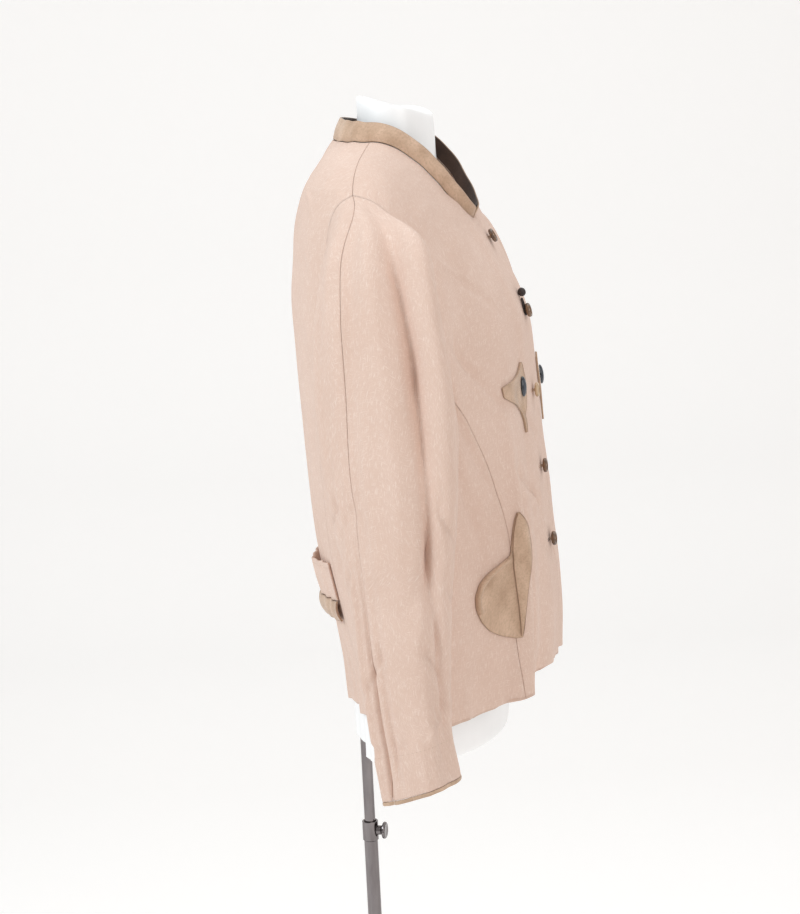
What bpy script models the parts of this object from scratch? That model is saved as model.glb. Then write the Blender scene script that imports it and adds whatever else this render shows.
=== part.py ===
"""Short linen blazer with suede trim, worn by a limbless dress form on a telescopic stand.

Metres, +Z up. The garment faces -Y, and the wearer's right hand is at -X. The origin is on the
underside of the base, on the axis of the pole. In the tables "fore" is the distance in front of
that axis (-Y), and "out" is a distance away from the wearer.

The bodice is one closed surface of rings, read by two numbers: turn runs around the wearer, 0 at
the centre back, 0.5 at the right side, 1 at the centre front, 1.5 at the left side, and level is
the row of BODICE_ROWS. Each sleeve is a tube of rings, read by turn (0 at the outer arm, 0.25 in
front, 0.5 inside, 0.75 behind) and by the row of SLEEVE_ROWS. Every panel is a stretch of one of
these surfaces with a cloth's thickness.
"""
import math

import bmesh
import bpy
import numpy as np
from mathutils import Matrix, Vector
from mathutils.bvhtree import BVHTree

# ---------------------------------------------------------------- driving dimensions
CLOTH = 0.0020            # linen with its backing
SUEDE = 0.0015            # one layer of suede
SEAM_GAP = 0.0003         # between neighbouring pieces
SETTLE_GAP = 0.0008       # under a piece that lies on another
EDGE_BEVEL = 0.0012       # the inside of a panel stops this much short of its outside
FRONT_LAP = 0.024         # the right front passes the centre line by this much
FRONT_UNDERLAP = 0.020    # and the left front passes under it by this much
LAP_LIFT = CLOTH + 0.0009  # the right front lies this far out, over the left front

COLLAR_BACK = 0.024       # height of the stand at the centre back
COLLAR_FRONT = 0.013      # and at its front ends
COLLAR_END = 0.006        # turn between each end and the centre front

BUTTON_RADIUS = 0.0075
BUTTON_HEIGHT = 0.0038
BUTTON_SHANK = 0.0028
BUTTON_Z = (1.314, 1.238, 1.156, 1.076, 0.998)

BELT_LOW, BELT_HIGH = 0.953, 0.993     # linen half-belt across the back
BELT_TRIM_LOW = 0.931                  # its suede lower edge
BELT_THICK = 0.0026
BELT_REACH = 0.27                      # turn of its sewn ends
BELT_BOW = 0.010                       # how far it stands off the centre back

CUFF_TRIM = 0.0035                     # height of the suede edge of the cuff
WELT_THICK = 0.0022
CORD_RADIUS = 0.0010
FRONT_CORNER = 1.1                     # levels that the hem climbs at the rounded front corners

POLE_RADIUS = 0.0060
POLE_FIT = 0.0001                      # clearance all round the pole
TUBE_RADIUS = 0.0076
TUBE_TOP = 0.658
POLE_FOOT = 0.360
POLE_SOCKET = 0.045                    # depth of the pole in the form
CLAMP_RADIUS = 0.0088
CLAMP_TOP = 0.680
CLAMP_BOSS = 0.0052                    # radius of the screw's boss
KNOB_RADIUS = 0.0092
KNOB_NEAR, KNOB_FAR = 0.0132, 0.0185   # fore of the knob's faces
SCREW_RADIUS = 0.0022
BASE_RADIUS = 0.165
BASE_THICK = 0.009
HUB_RADIUS = 0.020
HUB_TOP = 0.030

FORM_BOTTOM = 0.790
FORM_REST = 0.0005        # between the form's shoulders and the cloth on them
FORM_CHEST_FALL = 0.014   # extra room under the cloth below the throat
FORM_BACK_FALL = 0.004    # and across the shoulder blades
FORM_AXIS = 0.075         # fore of the middle that its level rings are drawn in to

# ---------------------------------------------------------------- tables
BODICE_COLUMNS = ("back_z", "side_z", "front_z", "half_width", "back", "middle", "front", "square_back",
                  "square_front")
BODICE_ROWS = (
    (0.830, 0.848, 0.868, 0.222, -0.0125, 0.085, 0.216, -0.140, -0.045),   # 0 hem
    (0.878, 0.888, 0.902, 0.215, -0.0150, 0.085, 0.218, -0.110, -0.045),
    (0.940, 0.948, 0.955, 0.204, -0.0200, 0.085, 0.217, -0.050, -0.040),   # 2 half-belt
    (1.020, 1.022, 1.024, 0.195, -0.0280, 0.084, 0.211, 0.000, -0.035),    # 3 waist
    (1.100, 1.098, 1.096, 0.196, -0.0350, 0.083, 0.204, 0.000, -0.030),
    (1.180, 1.172, 1.168, 0.203, -0.0390, 0.083, 0.199, 0.000, -0.030),    # 5 underarm
    (1.250, 1.238, 1.232, 0.207, -0.0410, 0.083, 0.194, 0.000, -0.030),    # 6 bust
    (1.306, 1.290, 1.276, 0.204, -0.0380, 0.082, 0.178, 0.000, -0.020),
    (1.350, 1.335, 1.304, 0.194, -0.0310, 0.072, 0.163, 0.000, -0.010),
    (1.382, 1.370, 1.321, 0.172, -0.0200, 0.063, 0.153, 0.000, 0.000),     # 9 shoulder tip
    (1.405, 1.397, 1.330, 0.130, -0.0070, 0.058, 0.147, 0.000, 0.000),
    (1.424, 1.419, 1.336, 0.066, 0.0020, 0.055, 0.143, 0.000, 0.000),      # 11 neck seam
)
UNDERARM, SHOULDER, NECK = 5.0, 9.0, 11.0
HEM_DIP = 4.0             # keeps the front hem low until it nears the centre

FOLD_COLUMNS = ("turn_low", "level_low", "turn_high", "level_high", "width", "out_low", "out_high")
BODICE_FOLDS = (
    (0.822, 0.0, 0.865, 4.8, 0.034, 0.015, 0.004),     # ridge under the right pocket
    (0.915, 0.0, 0.940, 3.4, 0.030, -0.010, -0.003),   # hollow between it and the front edge
    (0.735, 0.0, 0.730, 3.2, 0.040, -0.005, -0.003),
    (0.640, 0.0, 0.600, 2.4, 0.045, 0.007, 0.002),
    (0.520, 0.0, 0.520, 2.2, 0.030, -0.005, -0.001),
    (0.380, 0.0, 0.330, 2.4, 0.045, 0.006, 0.001),     # flare of the right back
    (1.165, 0.0, 1.110, 4.4, 0.036, 0.012, 0.003),     # the left side, a little flatter
    (1.085, 0.0, 1.050, 2.8, 0.030, -0.006, -0.001),
    (1.255, 0.0, 1.250, 2.8, 0.042, -0.005, -0.002),
    (1.370, 0.0, 1.400, 2.2, 0.045, 0.006, 0.001),
    (1.640, 0.0, 1.680, 2.6, 0.045, 0.007, 0.001),
    (0.615, 5.4, 0.590, 8.8, 0.075, 0.017, 0.004),     # cloth running on into each sleeve
    (1.395, 5.4, 1.410, 8.8, 0.070, 0.006, 0.003),
    (0.760, 5.6, 0.800, 9.6, 0.035, -0.004, -0.002),   # hollows between the sleeve and the chest
    (1.240, 5.6, 1.200, 9.4, 0.035, -0.005, -0.002),
    (1.000, 0.0, 1.000, 6.0, 0.050, -0.006, -0.001),   # the buttoned front, between two fuller edges
    (1.075, 0.0, 1.070, 6.0, 0.036, 0.004, 0.001),
    (0.340, 4.2, 0.330, 7.4, 0.045, 0.006, 0.002),     # fullness behind each armhole
    (1.660, 4.2, 1.670, 7.4, 0.045, 0.006, 0.002),
)

# the right side panel's seams, a turn for each level of the bodice up to the underarm
SIDE_FRONT_SEAM = ((0.815,), (0.810,), (0.805,), (0.812,), (0.783,), (0.722,))
SIDE_BACK_SEAM = ((0.290,), (0.285,), (0.285,), (0.295,), (0.310,), (0.330,))
ARMHOLE = (0.140, 0.110)      # how far it reaches to the front and to the back of the side
ARMHOLE_LEAD = 1.22           # the same curve, enlarged, from which the sleeve takes its direction

SLEEVE_COLUMNS = ("outer", "outer_z", "inner", "inner_z", "front", "back", "front_rise")
SLEEVE_ROWS = (
    (0.0, 0.0, 0.0, 0.0, 0.0, 0.0, 0.0),                          # 0 takes the armhole's own shape
    (0.211, 1.347, 0.212, 1.177, 0.150, 0.030, 0.0),
    (0.241, 1.310, 0.221, 1.170, 0.160, 0.032, 0.0),
    (0.263, 1.258, 0.226, 1.154, 0.168, 0.034, 0.0),
    (0.278, 1.192, 0.225, 1.126, 0.173, 0.037, 0.0),
    (0.288, 1.122, 0.222, 1.086, 0.172, 0.044, 0.0),
    (0.294, 1.052, 0.221, 1.034, 0.167, 0.055, 0.002),            # 6 elbow
    (0.298, 0.985, 0.225, 0.974, 0.161, 0.066, 0.004),
    (0.302, 0.920, 0.231, 0.911, 0.157, 0.076, 0.006),
    (0.305, 0.862, 0.237, 0.858, 0.157, 0.087, 0.008),
    (0.308, 0.816, 0.241, 0.812, 0.164, 0.093, 0.011),            # 10 cuff edge
)
SLEEVE_SQUARE = 0.035
LEFT_ARM_BACK = 0.022         # the left arm, out of the photograph's sight, hangs this much further back
CUFF = 10.0
SLEEVE_FOLDS = (
    (0.165, 9.2, 0.030, 0.8, 0.034, -0.003, -0.009),   # long fold from the shoulder to the wrist
    (0.240, 8.4, 0.120, 1.4, 0.045, 0.003, 0.006),     # roll in front of it
    (0.880, 6.5, 0.840, 1.4, 0.036, -0.004, -0.006),   # hollow behind the arm
    (0.640, 5.4, 0.740, 1.8, 0.045, -0.005, -0.007),   # slack under the arm
    (0.330, 5.4, 0.320, 1.6, 0.040, -0.004, -0.006),
    (0.770, 6.3, 0.900, 5.6, 0.040, -0.003, -0.004),   # elbow creases
    (0.060, 6.9, 0.130, 6.2, 0.040, -0.003, -0.003),
)
# the overarm seam, a turn for each row of the sleeve
OVERARM = ((0.0,), (-0.05,), (-0.07,), (-0.07,), (-0.068,), (-0.075,), (-0.080,), (-0.088,), (-0.097,),
           (-0.10,), (-0.107,))

FORM_COLUMNS = ("z", "half_width", "back", "middle", "front")
FORM_ROWS = (
    (0.790, 0.140, -0.0086, 0.070, 0.155),
    (0.800, 0.144, -0.0088, 0.070, 0.157),
    (0.850, 0.146, -0.0088, 0.070, 0.160),
    (0.915, 0.140, -0.0090, 0.070, 0.155),
    (0.980, 0.128, -0.0060, 0.068, 0.143),
    (1.050, 0.120, -0.0020, 0.065, 0.134),
    (1.110, 0.125, -0.0060, 0.068, 0.142),
    (1.170, 0.138, -0.0150, 0.071, 0.156),
    (1.220, 0.148, -0.0220, 0.072, 0.166),
    (1.270, 0.155, -0.0250, 0.068, 0.150),
    (1.315, 0.158, -0.0200, 0.064, 0.130),
)
FORM_SHOULDER_LEVELS = (9.0, 9.65, 10.3)     # as the rows of the panels above them
FORM_ROOM = 0.004                            # kept between the rings above and the cloth
NECK_COLUMNS = ("back_z", "front_z", "half_width", "back", "middle", "front")
FORM_NECK = (
    (1.412, 1.372, 0.063, 0.022, 0.066, 0.116),
    (1.418, 1.382, 0.057, 0.025, 0.067, 0.110),
    (1.430, 1.400, 0.052, 0.028, 0.067, 0.107),
    (1.463, 1.440, 0.050, 0.028, 0.067, 0.106),
    (1.467, 1.444, 0.047, 0.031, 0.067, 0.103),
)

# outlines of the suede: height above the low end, and width there to the side and to the front
POCKET_OUTLINE = (
    (0.000, 0.0030, 0.0010), (0.005, 0.0220, 0.0020), (0.013, 0.0380, 0.0028), (0.025, 0.0500, 0.0036),
    (0.038, 0.0570, 0.0050), (0.050, 0.0580, 0.0066), (0.062, 0.0520, 0.0084), (0.071, 0.0400, 0.0096),
    (0.078, 0.0240, 0.0104), (0.083, 0.0110, 0.0108), (0.095, 0.0090, 0.0112), (0.108, 0.0070, 0.0096),
    (0.119, 0.0042, 0.0060), (0.126, 0.0010, 0.0010),
)
POCKET_TURN, POCKET_Z, POCKET_SLOPE = 0.815, 0.917, 0.16
CHEST_OUTLINE = (
    (0.000, 0.0010, 0.0010), (0.012, 0.0030, 0.0022), (0.022, 0.0060, 0.0032), (0.029, 0.0180, 0.0044),
    (0.036, 0.0360, 0.0056), (0.042, 0.0480, 0.0064), (0.053, 0.0500, 0.0066), (0.057, 0.0340, 0.0060),
    (0.061, 0.0160, 0.0050), (0.066, 0.0060, 0.0036), (0.073, 0.0010, 0.0010),
)
CHEST_TURN, CHEST_Z = {-1: 0.928, 1: 0.905}, 1.117

# colour, roughness, metallic
FINISHES = {
    "linen": ((0.72, 0.56, 0.46), 0.90, 0.0),
    "suede": ((0.52, 0.38, 0.24), 0.95, 0.0),
    "brown_leather": ((0.12, 0.065, 0.04), 0.65, 0.0),
    "horn": ((0.20, 0.10, 0.045), 0.35, 0.0),
    "dark_stud": ((0.05, 0.055, 0.065), 0.40, 0.3),
    "form_white": ((0.86, 0.84, 0.82), 0.45, 0.0),
    "chrome": ((0.75, 0.75, 0.76), 0.18, 1.0),
    "base_metal": ((0.62, 0.62, 0.63), 0.35, 1.0),
}


# ---------------------------------------------------------------- small tools
def smooth_step(low, high, value):
    """0 below low, 1 above high, and an S-curve between them."""
    t = np.clip((np.asarray(value, float) - low) / (high - low), 0.0, 1.0)
    return t * t * (3.0 - 2.0 * t)


def spline(rows, position):
    """Read a table at a fractional row: a Catmull-Rom curve through every column."""
    rows = np.asarray(rows, float)
    position = np.clip(np.asarray(position, float), 0.0, len(rows) - 1.0)
    start = np.minimum(position.astype(int), len(rows) - 2)
    t = (position - start)[..., None]
    before = rows[np.maximum(start - 1, 0)]
    here, after = rows[start], rows[start + 1]
    beyond = rows[np.minimum(start + 2, len(rows) - 1)]
    return 0.5 * (2 * here + (after - before) * t
                  + (2 * before - 5 * here + 4 * after - beyond) * t ** 2
                  + (3 * here - before - 3 * after + beyond) * t ** 3)


def read(columns, rows, position):
    """The columns of a table at a fractional row, by name."""
    values = spline(rows, position)
    return {name: values[..., i] for i, name in enumerate(columns)}


def fold_height(folds, turn, level, period):
    """Sum of the soft ridges and troughs at a place on a surface."""
    total = np.zeros(np.broadcast(turn, level).shape)
    for row in folds:
        fold = dict(zip(FOLD_COLUMNS, row))
        low, high = fold["level_low"], fold["level_high"]
        along = np.clip((level - low) / (high - low), 0.0, 1.0)
        centre = fold["turn_low"] + along * (fold["turn_high"] - fold["turn_low"])
        height = fold["out_low"] + along * (fold["out_high"] - fold["out_low"])
        span = abs(high - low)
        past = np.maximum(np.maximum(min(low, high) - level, level - max(low, high)), 0.0)
        away = (turn - centre + period / 2) % period - period / 2
        total = total + height * np.exp(-(away / fold["width"]) ** 2 - (past / (0.3 * span)) ** 2)
    return total


def unit(vectors):
    """Vectors scaled to length 1."""
    return vectors / np.maximum(np.linalg.norm(vectors, axis=-1, keepdims=True), 1e-12)


# ---------------------------------------------------------------- the bodice and the sleeves
def bodice_base(turn, level):
    """A point of the bodice without its folds."""
    row = read(BODICE_COLUMNS, BODICE_ROWS, level)
    angle = math.pi * np.asarray(turn, float)
    square = np.where(np.cos(angle) > 0, row["square_back"], row["square_front"])
    side = (np.sin(angle) + square * np.sin(3 * angle)) / (1 - square)
    ahead = -(np.cos(angle) - square * np.cos(3 * angle)) / (1 - square)
    reach = np.where(ahead < 0, row["middle"] - row["back"], row["front"] - row["middle"])
    end_z = np.where(ahead < 0, row["back_z"], row["front_z"])
    lead = np.where(ahead < 0, 2.0, 2.0 + HEM_DIP * smooth_step(4.0, 0.0, level))
    z = row["side_z"] + (end_z - row["side_z"]) * np.abs(np.cos(angle)) ** lead
    return np.stack([-row["half_width"] * side, -(row["middle"] + reach * ahead), z], axis=-1)


def surface_normal(surface, turn, level, turn_step=0.002, level_step=0.01):
    """Outward normal of a surface that is read by turn and level."""
    across = surface(turn + turn_step, level) - surface(turn - turn_step, level)
    up = surface(turn, level + level_step) - surface(turn, level - level_step)
    return unit(np.cross(across, up))


def bodice(turn, level):
    """A point on the outside of the bodice."""
    turn, level = np.broadcast_arrays(np.asarray(turn, float), np.asarray(level, float))
    flat = bodice_base(turn, level)
    out = surface_normal(bodice_base, turn, level)
    return flat + out * fold_height(BODICE_FOLDS, turn, level, 2.0)[..., None]


def level_at(turn, z):
    """The level at which the bodice has a given height."""
    turn, z = np.broadcast_arrays(np.asarray(turn, float), np.asarray(z, float))
    low, high = np.zeros(turn.shape), np.full(turn.shape, NECK)
    for _ in range(30):
        middle = (low + high) / 2
        below = bodice_base(turn, middle)[..., 2] < z
        low, high = np.where(below, middle, low), np.where(below, high, middle)
    return (low + high) / 2


def turn_at(level, across):
    """The turn past the centre front at which a ring is so far to the left."""
    low, high = np.full(np.shape(level), 1.0), np.full(np.shape(level), 1.25)
    for _ in range(30):
        middle = (low + high) / 2
        short = bodice_base(middle, level)[..., 0] < across
        low, high = np.where(short, middle, low), np.where(short, high, middle)
    return (low + high) / 2


def sleeve_base(side, turn, row):
    """A point of a sleeve without its folds; side is -1 on the wearer's right and 1 on the left."""
    turn, row = np.broadcast_arrays(np.asarray(turn, float), np.asarray(row, float))
    angle = 2 * math.pi * turn
    rings = []
    middle, half = (UNDERARM + SHOULDER) / 2, (SHOULDER - UNDERARM) / 2
    reach = np.where(np.sin(angle) > 0, ARMHOLE[0], ARMHOLE[1])
    for scale in (ARMHOLE_LEAD, 1.0):
        around = mirrored(0.5 + scale * reach * np.sin(angle), side)
        ring = bodice(around, middle + scale * half * np.cos(angle))
        rings.append(ring * np.array([1.0 if side < 0 else -1.0, 1.0, 1.0]))
    for values in SLEEVE_ROWS[1:]:
        ring = dict(zip(SLEEVE_COLUMNS, values))
        square = SLEEVE_SQUARE
        outward = ((np.cos(angle) - square * np.cos(3 * angle)) / (1 - square))[..., None]
        ahead = ((np.sin(angle) + square * np.sin(3 * angle)) / (1 - square))[..., None]
        outer = np.array([-ring["outer"], 0.0, ring["outer_z"]])
        inner = np.array([-ring["inner"], 0.0, ring["inner_z"]])
        centre = (outer + inner) / 2 - np.array([0.0, (ring["front"] + ring["back"]) / 2, 0.0])
        forward = np.array([0.0, -(ring["front"] - ring["back"]) / 2, ring["front_rise"]])
        if side > 0:
            centre = centre + np.array([0.0, LEFT_ARM_BACK, 0.0])
        rings.append(centre + (outer - inner) / 2 * outward + forward * ahead)
    rings = np.stack(rings)
    start = np.minimum(np.clip(row, 0, CUFF).astype(int), len(rings) - 3)
    t = (np.clip(row, 0, CUFF) - start)[..., None]

    def ring_at(index):
        index = np.clip(index + 1, 0, len(rings) - 1)
        return np.take_along_axis(rings, index[None, ..., None], axis=0)[0]

    before, here, after, beyond = (ring_at(start + k) for k in (-1, 0, 1, 2))
    point = 0.5 * (2 * here + (after - before) * t
                   + (2 * before - 5 * here + 4 * after - beyond) * t ** 2
                   + (3 * here - before - 3 * after + beyond) * t ** 3)
    return point * np.array([1.0 if side < 0 else -1.0, 1.0, 1.0])


def sleeve_normal(surface, side, turn, row):
    """Outward normal of a sleeve surface."""
    around = surface(side, turn + 0.004, row) - surface(side, turn - 0.004, row)
    along = surface(side, turn, np.minimum(row + 0.04, CUFF)) \
        - surface(side, turn, np.maximum(row - 0.04, 0.0))
    return unit(np.cross(along, around)) * (1.0 if side < 0 else -1.0)


def sleeve(side, turn, row):
    """A point on the outside of a sleeve."""
    turn, row = np.broadcast_arrays(np.asarray(turn, float), np.asarray(row, float))
    out = sleeve_normal(sleeve_base, side, turn, row)
    height = fold_height(SLEEVE_FOLDS, turn, row, 1.0) * smooth_step(0.0, 1.0, row)
    return sleeve_base(side, turn, row) + out * height[..., None]


# ---------------------------------------------------------------- meshes
def finish(name):
    """The material of a finish, made once."""
    if name in bpy.data.materials:
        return bpy.data.materials[name]
    color, roughness, metallic = FINISHES[name]
    material = bpy.data.materials.new(name)
    material.use_nodes = True
    shader = material.node_tree.nodes["Principled BSDF"]
    shader.inputs["Base Color"].default_value = (*color, 1.0)
    shader.inputs["Roughness"].default_value = roughness
    shader.inputs["Metallic"].default_value = metallic
    material.diffuse_color = (*color, 1.0)
    return material


def add_object(name, points, faces, finish_name, sharp=40.0):
    """One named object from points and faces, with its own material."""
    mesh = bpy.data.meshes.new(name)
    mesh.from_pydata([tuple(map(float, p)) for p in points], [], faces)
    mesh.validate()
    body = bmesh.new()
    body.from_mesh(mesh)
    bmesh.ops.triangulate(body, faces=body.faces, quad_method="SHORT_EDGE")
    bmesh.ops.recalc_face_normals(body, faces=body.faces)
    if body.calc_volume(signed=True) < 0:
        bmesh.ops.reverse_faces(body, faces=body.faces)
    body.to_mesh(mesh)
    body.free()
    mesh.shade_smooth()
    mesh.set_sharp_from_angle(angle=math.radians(sharp))
    mesh.materials.append(finish(finish_name))
    thing = bpy.data.objects.new(name, mesh)
    bpy.context.scene.collection.objects.link(thing)
    return thing


def shell(name, outer, normals, thick, finish_name, closed=False):
    """A wall: a grid of outer points, and the same grid moved in along the normals.

    closed joins the last column to the first, for a ring.
    """
    rows, columns = outer.shape[:2]
    inner = outer - normals * thick
    points = np.concatenate([outer.reshape(-1, 3), inner.reshape(-1, 3)])
    count = rows * columns
    faces = []
    last = columns if closed else columns - 1
    for i in range(rows - 1):
        for j in range(last):
            k = (j + 1) % columns
            a, b, c, d = i * columns + j, i * columns + k, (i + 1) * columns + k, (i + 1) * columns + j
            faces.append((a, b, c, d))
            faces.append((count + d, count + c, count + b, count + a))
    for j in range(last):
        k = (j + 1) % columns
        for i in (0, rows - 1):
            a, b = i * columns + j, i * columns + k
            faces.append((a, count + a, count + b, b) if i == 0 else (a, b, count + b, count + a))
    if not closed:
        for i in range(rows - 1):
            for j in (0, columns - 1):
                a, b = i * columns + j, (i + 1) * columns + j
                faces.append((a, b, count + b, count + a) if j == 0 else (a, count + a, count + b, b))
    return add_object(name, points, faces, finish_name)


def sheet(name, grids, thick, finish_name, gap):
    """A cloth wall from one or more (points, normals) grids of its outside.

    Grids that share border points are one piece of cloth. The free border is drawn back by half a
    seam's gap, and the inside is the outside moved in along the normals.
    """
    index, points, normals, quads = {}, [], [], []
    for grid, grid_normals in grids:
        rows, columns = grid.shape[:2]
        places = np.zeros((rows, columns), int)
        for i in range(rows):
            for j in range(columns):
                key = tuple(np.round(grid[i, j], 6))
                if key not in index:
                    index[key] = len(points)
                    points.append(grid[i, j])
                    normals.append(np.zeros(3))
                places[i, j] = index[key]
                normals[index[key]] = normals[index[key]] + grid_normals[i, j]
        facing = np.cross(np.gradient(grid, axis=1), np.gradient(grid, axis=0))
        turned_in = np.sum(facing * grid_normals) < 0
        for i in range(rows - 1):
            for j in range(columns - 1):
                quad = [places[i, j], places[i, j + 1], places[i + 1, j + 1], places[i + 1, j]]
                quads.append(quad[::-1] if turned_in else quad)
    points, normals = np.array(points), unit(np.array(normals))
    once = {}
    for quad in quads:
        for a, b in zip(quad, quad[1:] + quad[:1]):
            if (b, a) in once:
                del once[(b, a)]
            else:
                once[(a, b)] = quad
    inward = np.zeros(points.shape)
    for (a, b), quad in once.items():
        edge = unit(points[b] - points[a])
        towards = points[quad].mean(axis=0) - (points[a] + points[b]) / 2
        towards = unit(towards - edge * (towards @ edge))
        inward[a] += towards
        inward[b] += towards
    points = points + unit(inward) * gap
    inside = points - normals * thick + unit(inward) * EDGE_BEVEL
    count = len(points)
    faces = [tuple(quad) for quad in quads] + [tuple(count + v for v in reversed(quad)) for quad in quads]
    faces += [(b, a, count + a, count + b) for a, b in once]
    return add_object(name, np.concatenate([points, inside]), faces, finish_name)


def turned(name, profile, sides, finish_name, frame=Matrix.Identity(4)):
    """A turned solid: (radius, height) pairs around the local Z axis; ends on the axis close it."""
    vertices, faces, rings = [], [], []
    for radius, height in profile:
        if radius == 0.0:
            rings.append([len(vertices)])
            vertices.append(frame @ Vector((0.0, 0.0, height)))
            continue
        rings.append(list(range(len(vertices), len(vertices) + sides)))
        for k in range(sides):
            angle = 2 * math.pi * k / sides
            vertices.append(frame @ Vector((radius * math.cos(angle), radius * math.sin(angle), height)))
    pairs = list(zip(rings, rings[1:]))
    if len(rings[0]) > 1:
        pairs.append((rings[-1], rings[0]))
    for low, high in pairs:
        for k in range(sides):
            m = (k + 1) % sides
            if len(low) == 1:
                faces.append((low[0], high[k], high[m]))
            elif len(high) == 1:
                faces.append((low[k], low[m], high[0]))
            else:
                faces.append((low[k], low[m], high[m], high[k]))
    return add_object(name, vertices, faces, finish_name, sharp=35.0)


def cut(body, cutter):
    """Take a cutter out of a body with an applied Boolean, and remove the cutter."""
    modifier = body.modifiers.new("cut", "BOOLEAN")
    modifier.operation = "DIFFERENCE"
    modifier.solver = "EXACT"
    modifier.object = cutter
    evaluated = body.evaluated_get(bpy.context.evaluated_depsgraph_get())
    mesh = bpy.data.meshes.new_from_object(evaluated)
    body.modifiers.clear()
    body.data = mesh
    bpy.data.objects.remove(cutter)


def seated(points, normals, names, reach=0.03):
    """Points let down along their normals on to the facets of named pieces."""
    vertices, faces = [], []
    for name in names:
        mesh = bpy.data.objects[name].data
        start = len(vertices)
        vertices += [vertex.co[:] for vertex in mesh.vertices]
        faces += [tuple(start + v for v in face.vertices) for face in mesh.polygons]
    tree = BVHTree.FromPolygons(vertices, faces)
    low = np.array(points, float)
    for place in np.ndindex(low.shape[:-1]):
        point, normal = Vector(points[place]), Vector(normals[place])
        hit = tree.ray_cast(point + normal * reach, -normal, 2 * reach)[0]
        if hit is not None:
            low[place] = hit
    return low


def settled(points, normals, names, gap):
    """A grid let down on to named pieces so that its facets, and not only its points, clear theirs."""
    low = seated(points, normals, names)
    lift = np.zeros(low.shape[:2])
    corners = (low[:-1, :-1], low[:-1, 1:], low[1:, 1:], low[1:, :-1])
    mean = unit(normals[:-1, :-1] + normals[1:, 1:])
    for u, v in ((0.5, 0.5), (0.5, 0.0), (0.5, 1.0), (0.0, 0.5), (1.0, 0.5), (0.25, 0.25), (0.75, 0.75),
                 (0.25, 0.75), (0.75, 0.25)):
        weights = ((1 - u) * (1 - v), u * (1 - v), u * v, (1 - u) * v)
        place = sum(weight * corner for weight, corner in zip(weights, corners))
        short = np.sum((seated(place, mean, names) - place) * mean, axis=-1)
        for rows in (slice(0, -1), slice(1, None)):
            for columns in (slice(0, -1), slice(1, None)):
                lift[rows, columns] = np.maximum(lift[rows, columns], short)
    return low + normals * (lift + gap)[..., None]


# ---------------------------------------------------------------- the blazer's pieces
FRONT_COLUMNS, BACK_COLUMNS = 12, 9
ARMHOLE_STEPS = 24
MEETING = 8              # step of the armhole at which the side panel's seams reach it


def armhole_place(step):
    """Turn and level of a step round the right armhole, from the shoulder tip to the front."""
    angle = 2 * math.pi * np.asarray(step, float) / ARMHOLE_STEPS
    reach = np.where(np.sin(angle) > 0, ARMHOLE[0], ARMHOLE[1])
    middle, half = (UNDERARM + SHOULDER) / 2, (SHOULDER - UNDERARM) / 2
    return 0.5 + reach * np.sin(angle), middle + half * np.cos(angle)


MEETING_LEVEL = float(armhole_place(MEETING)[1])
PANEL_LEVELS = np.concatenate([
    np.linspace(0.0, 5.2, 11), [5.6], armhole_place(np.arange(MEETING, 0, -1))[1],
    [SHOULDER, 9.65, 10.3, NECK]])


def side_front_turn(level):
    """The seam between the right front and its side panel."""
    curve = spline(SIDE_FRONT_SEAM, np.minimum(level, UNDERARM))[..., 0]
    return curve + (armhole_place(MEETING)[0] - curve) * smooth_step(4.6, MEETING_LEVEL, level)


def side_back_turn(level):
    """The seam between the right back and its side panel."""
    curve = spline(SIDE_BACK_SEAM, np.minimum(level, UNDERARM))[..., 0]
    return curve + (armhole_place(ARMHOLE_STEPS - MEETING)[0] - curve) * smooth_step(4.6, MEETING_LEVEL, level)


def panel_edge(levels, seam, front):
    """A panel's border: its side seam, then the armhole, then the shoulder seam."""
    middle, half = (UNDERARM + SHOULDER) / 2, (SHOULDER - UNDERARM) / 2
    swing = np.sqrt(np.clip(1 - ((levels - middle) / half) ** 2, 0.0, 1.0))
    mouth = 0.5 + ARMHOLE[0] * swing if front else 0.5 - ARMHOLE[1] * swing
    return np.where(levels < MEETING_LEVEL - 1e-6, seam(levels), np.where(levels < SHOULDER, mouth, 0.5))


def mirrored(turns, side):
    """Turns of the right half, or the same places on the left half."""
    return turns if side < 0 else 2.0 - turns


def bodice_grid(side, turns, levels, lift=0.0):
    """Points and normals at a grid of the right half's turns and levels, lift out of the surface."""
    turns = mirrored(turns, side)
    if side > 0:
        turns, levels = turns[:, ::-1], levels[:, ::-1]
        lift = lift[:, ::-1] if np.ndim(lift) else lift
    normals = surface_normal(bodice, turns, levels)
    return bodice(turns, levels) + normals * np.asarray(lift)[..., None], normals


def front(name, side):
    """A front, cut in one with the front half of its sleeve."""
    levels = PANEL_LEVELS
    start = panel_edge(levels, side_front_turn, True)
    end = turn_at(levels, FRONT_LAP if side < 0 else FRONT_UNDERLAP)
    along = np.linspace(0.0, 1.0, FRONT_COLUMNS)
    turns = start[:, None] + (end - start)[:, None] * along
    # the lower corner is rounded: the hem climbs over the last stretch of the columns
    corner = FRONT_CORNER * (1 - np.sqrt(1 - np.clip((along - 0.80) / 0.20, 0.0, 1.0) ** 2 * 0.96))
    grid = levels[:, None] + corner * np.clip(1 - levels[:, None] / 4.0, 0.0, 1.0)
    lift = LAP_LIFT * smooth_step(-0.046, -0.028, bodice(turns, grid)[..., 0]) if side < 0 else 0.0
    body = bodice_grid(side, turns, grid, lift)
    return sheet(name, (body, half_sleeve(side, True)), CLOTH, "linen", SEAM_GAP * 0.6)


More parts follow.
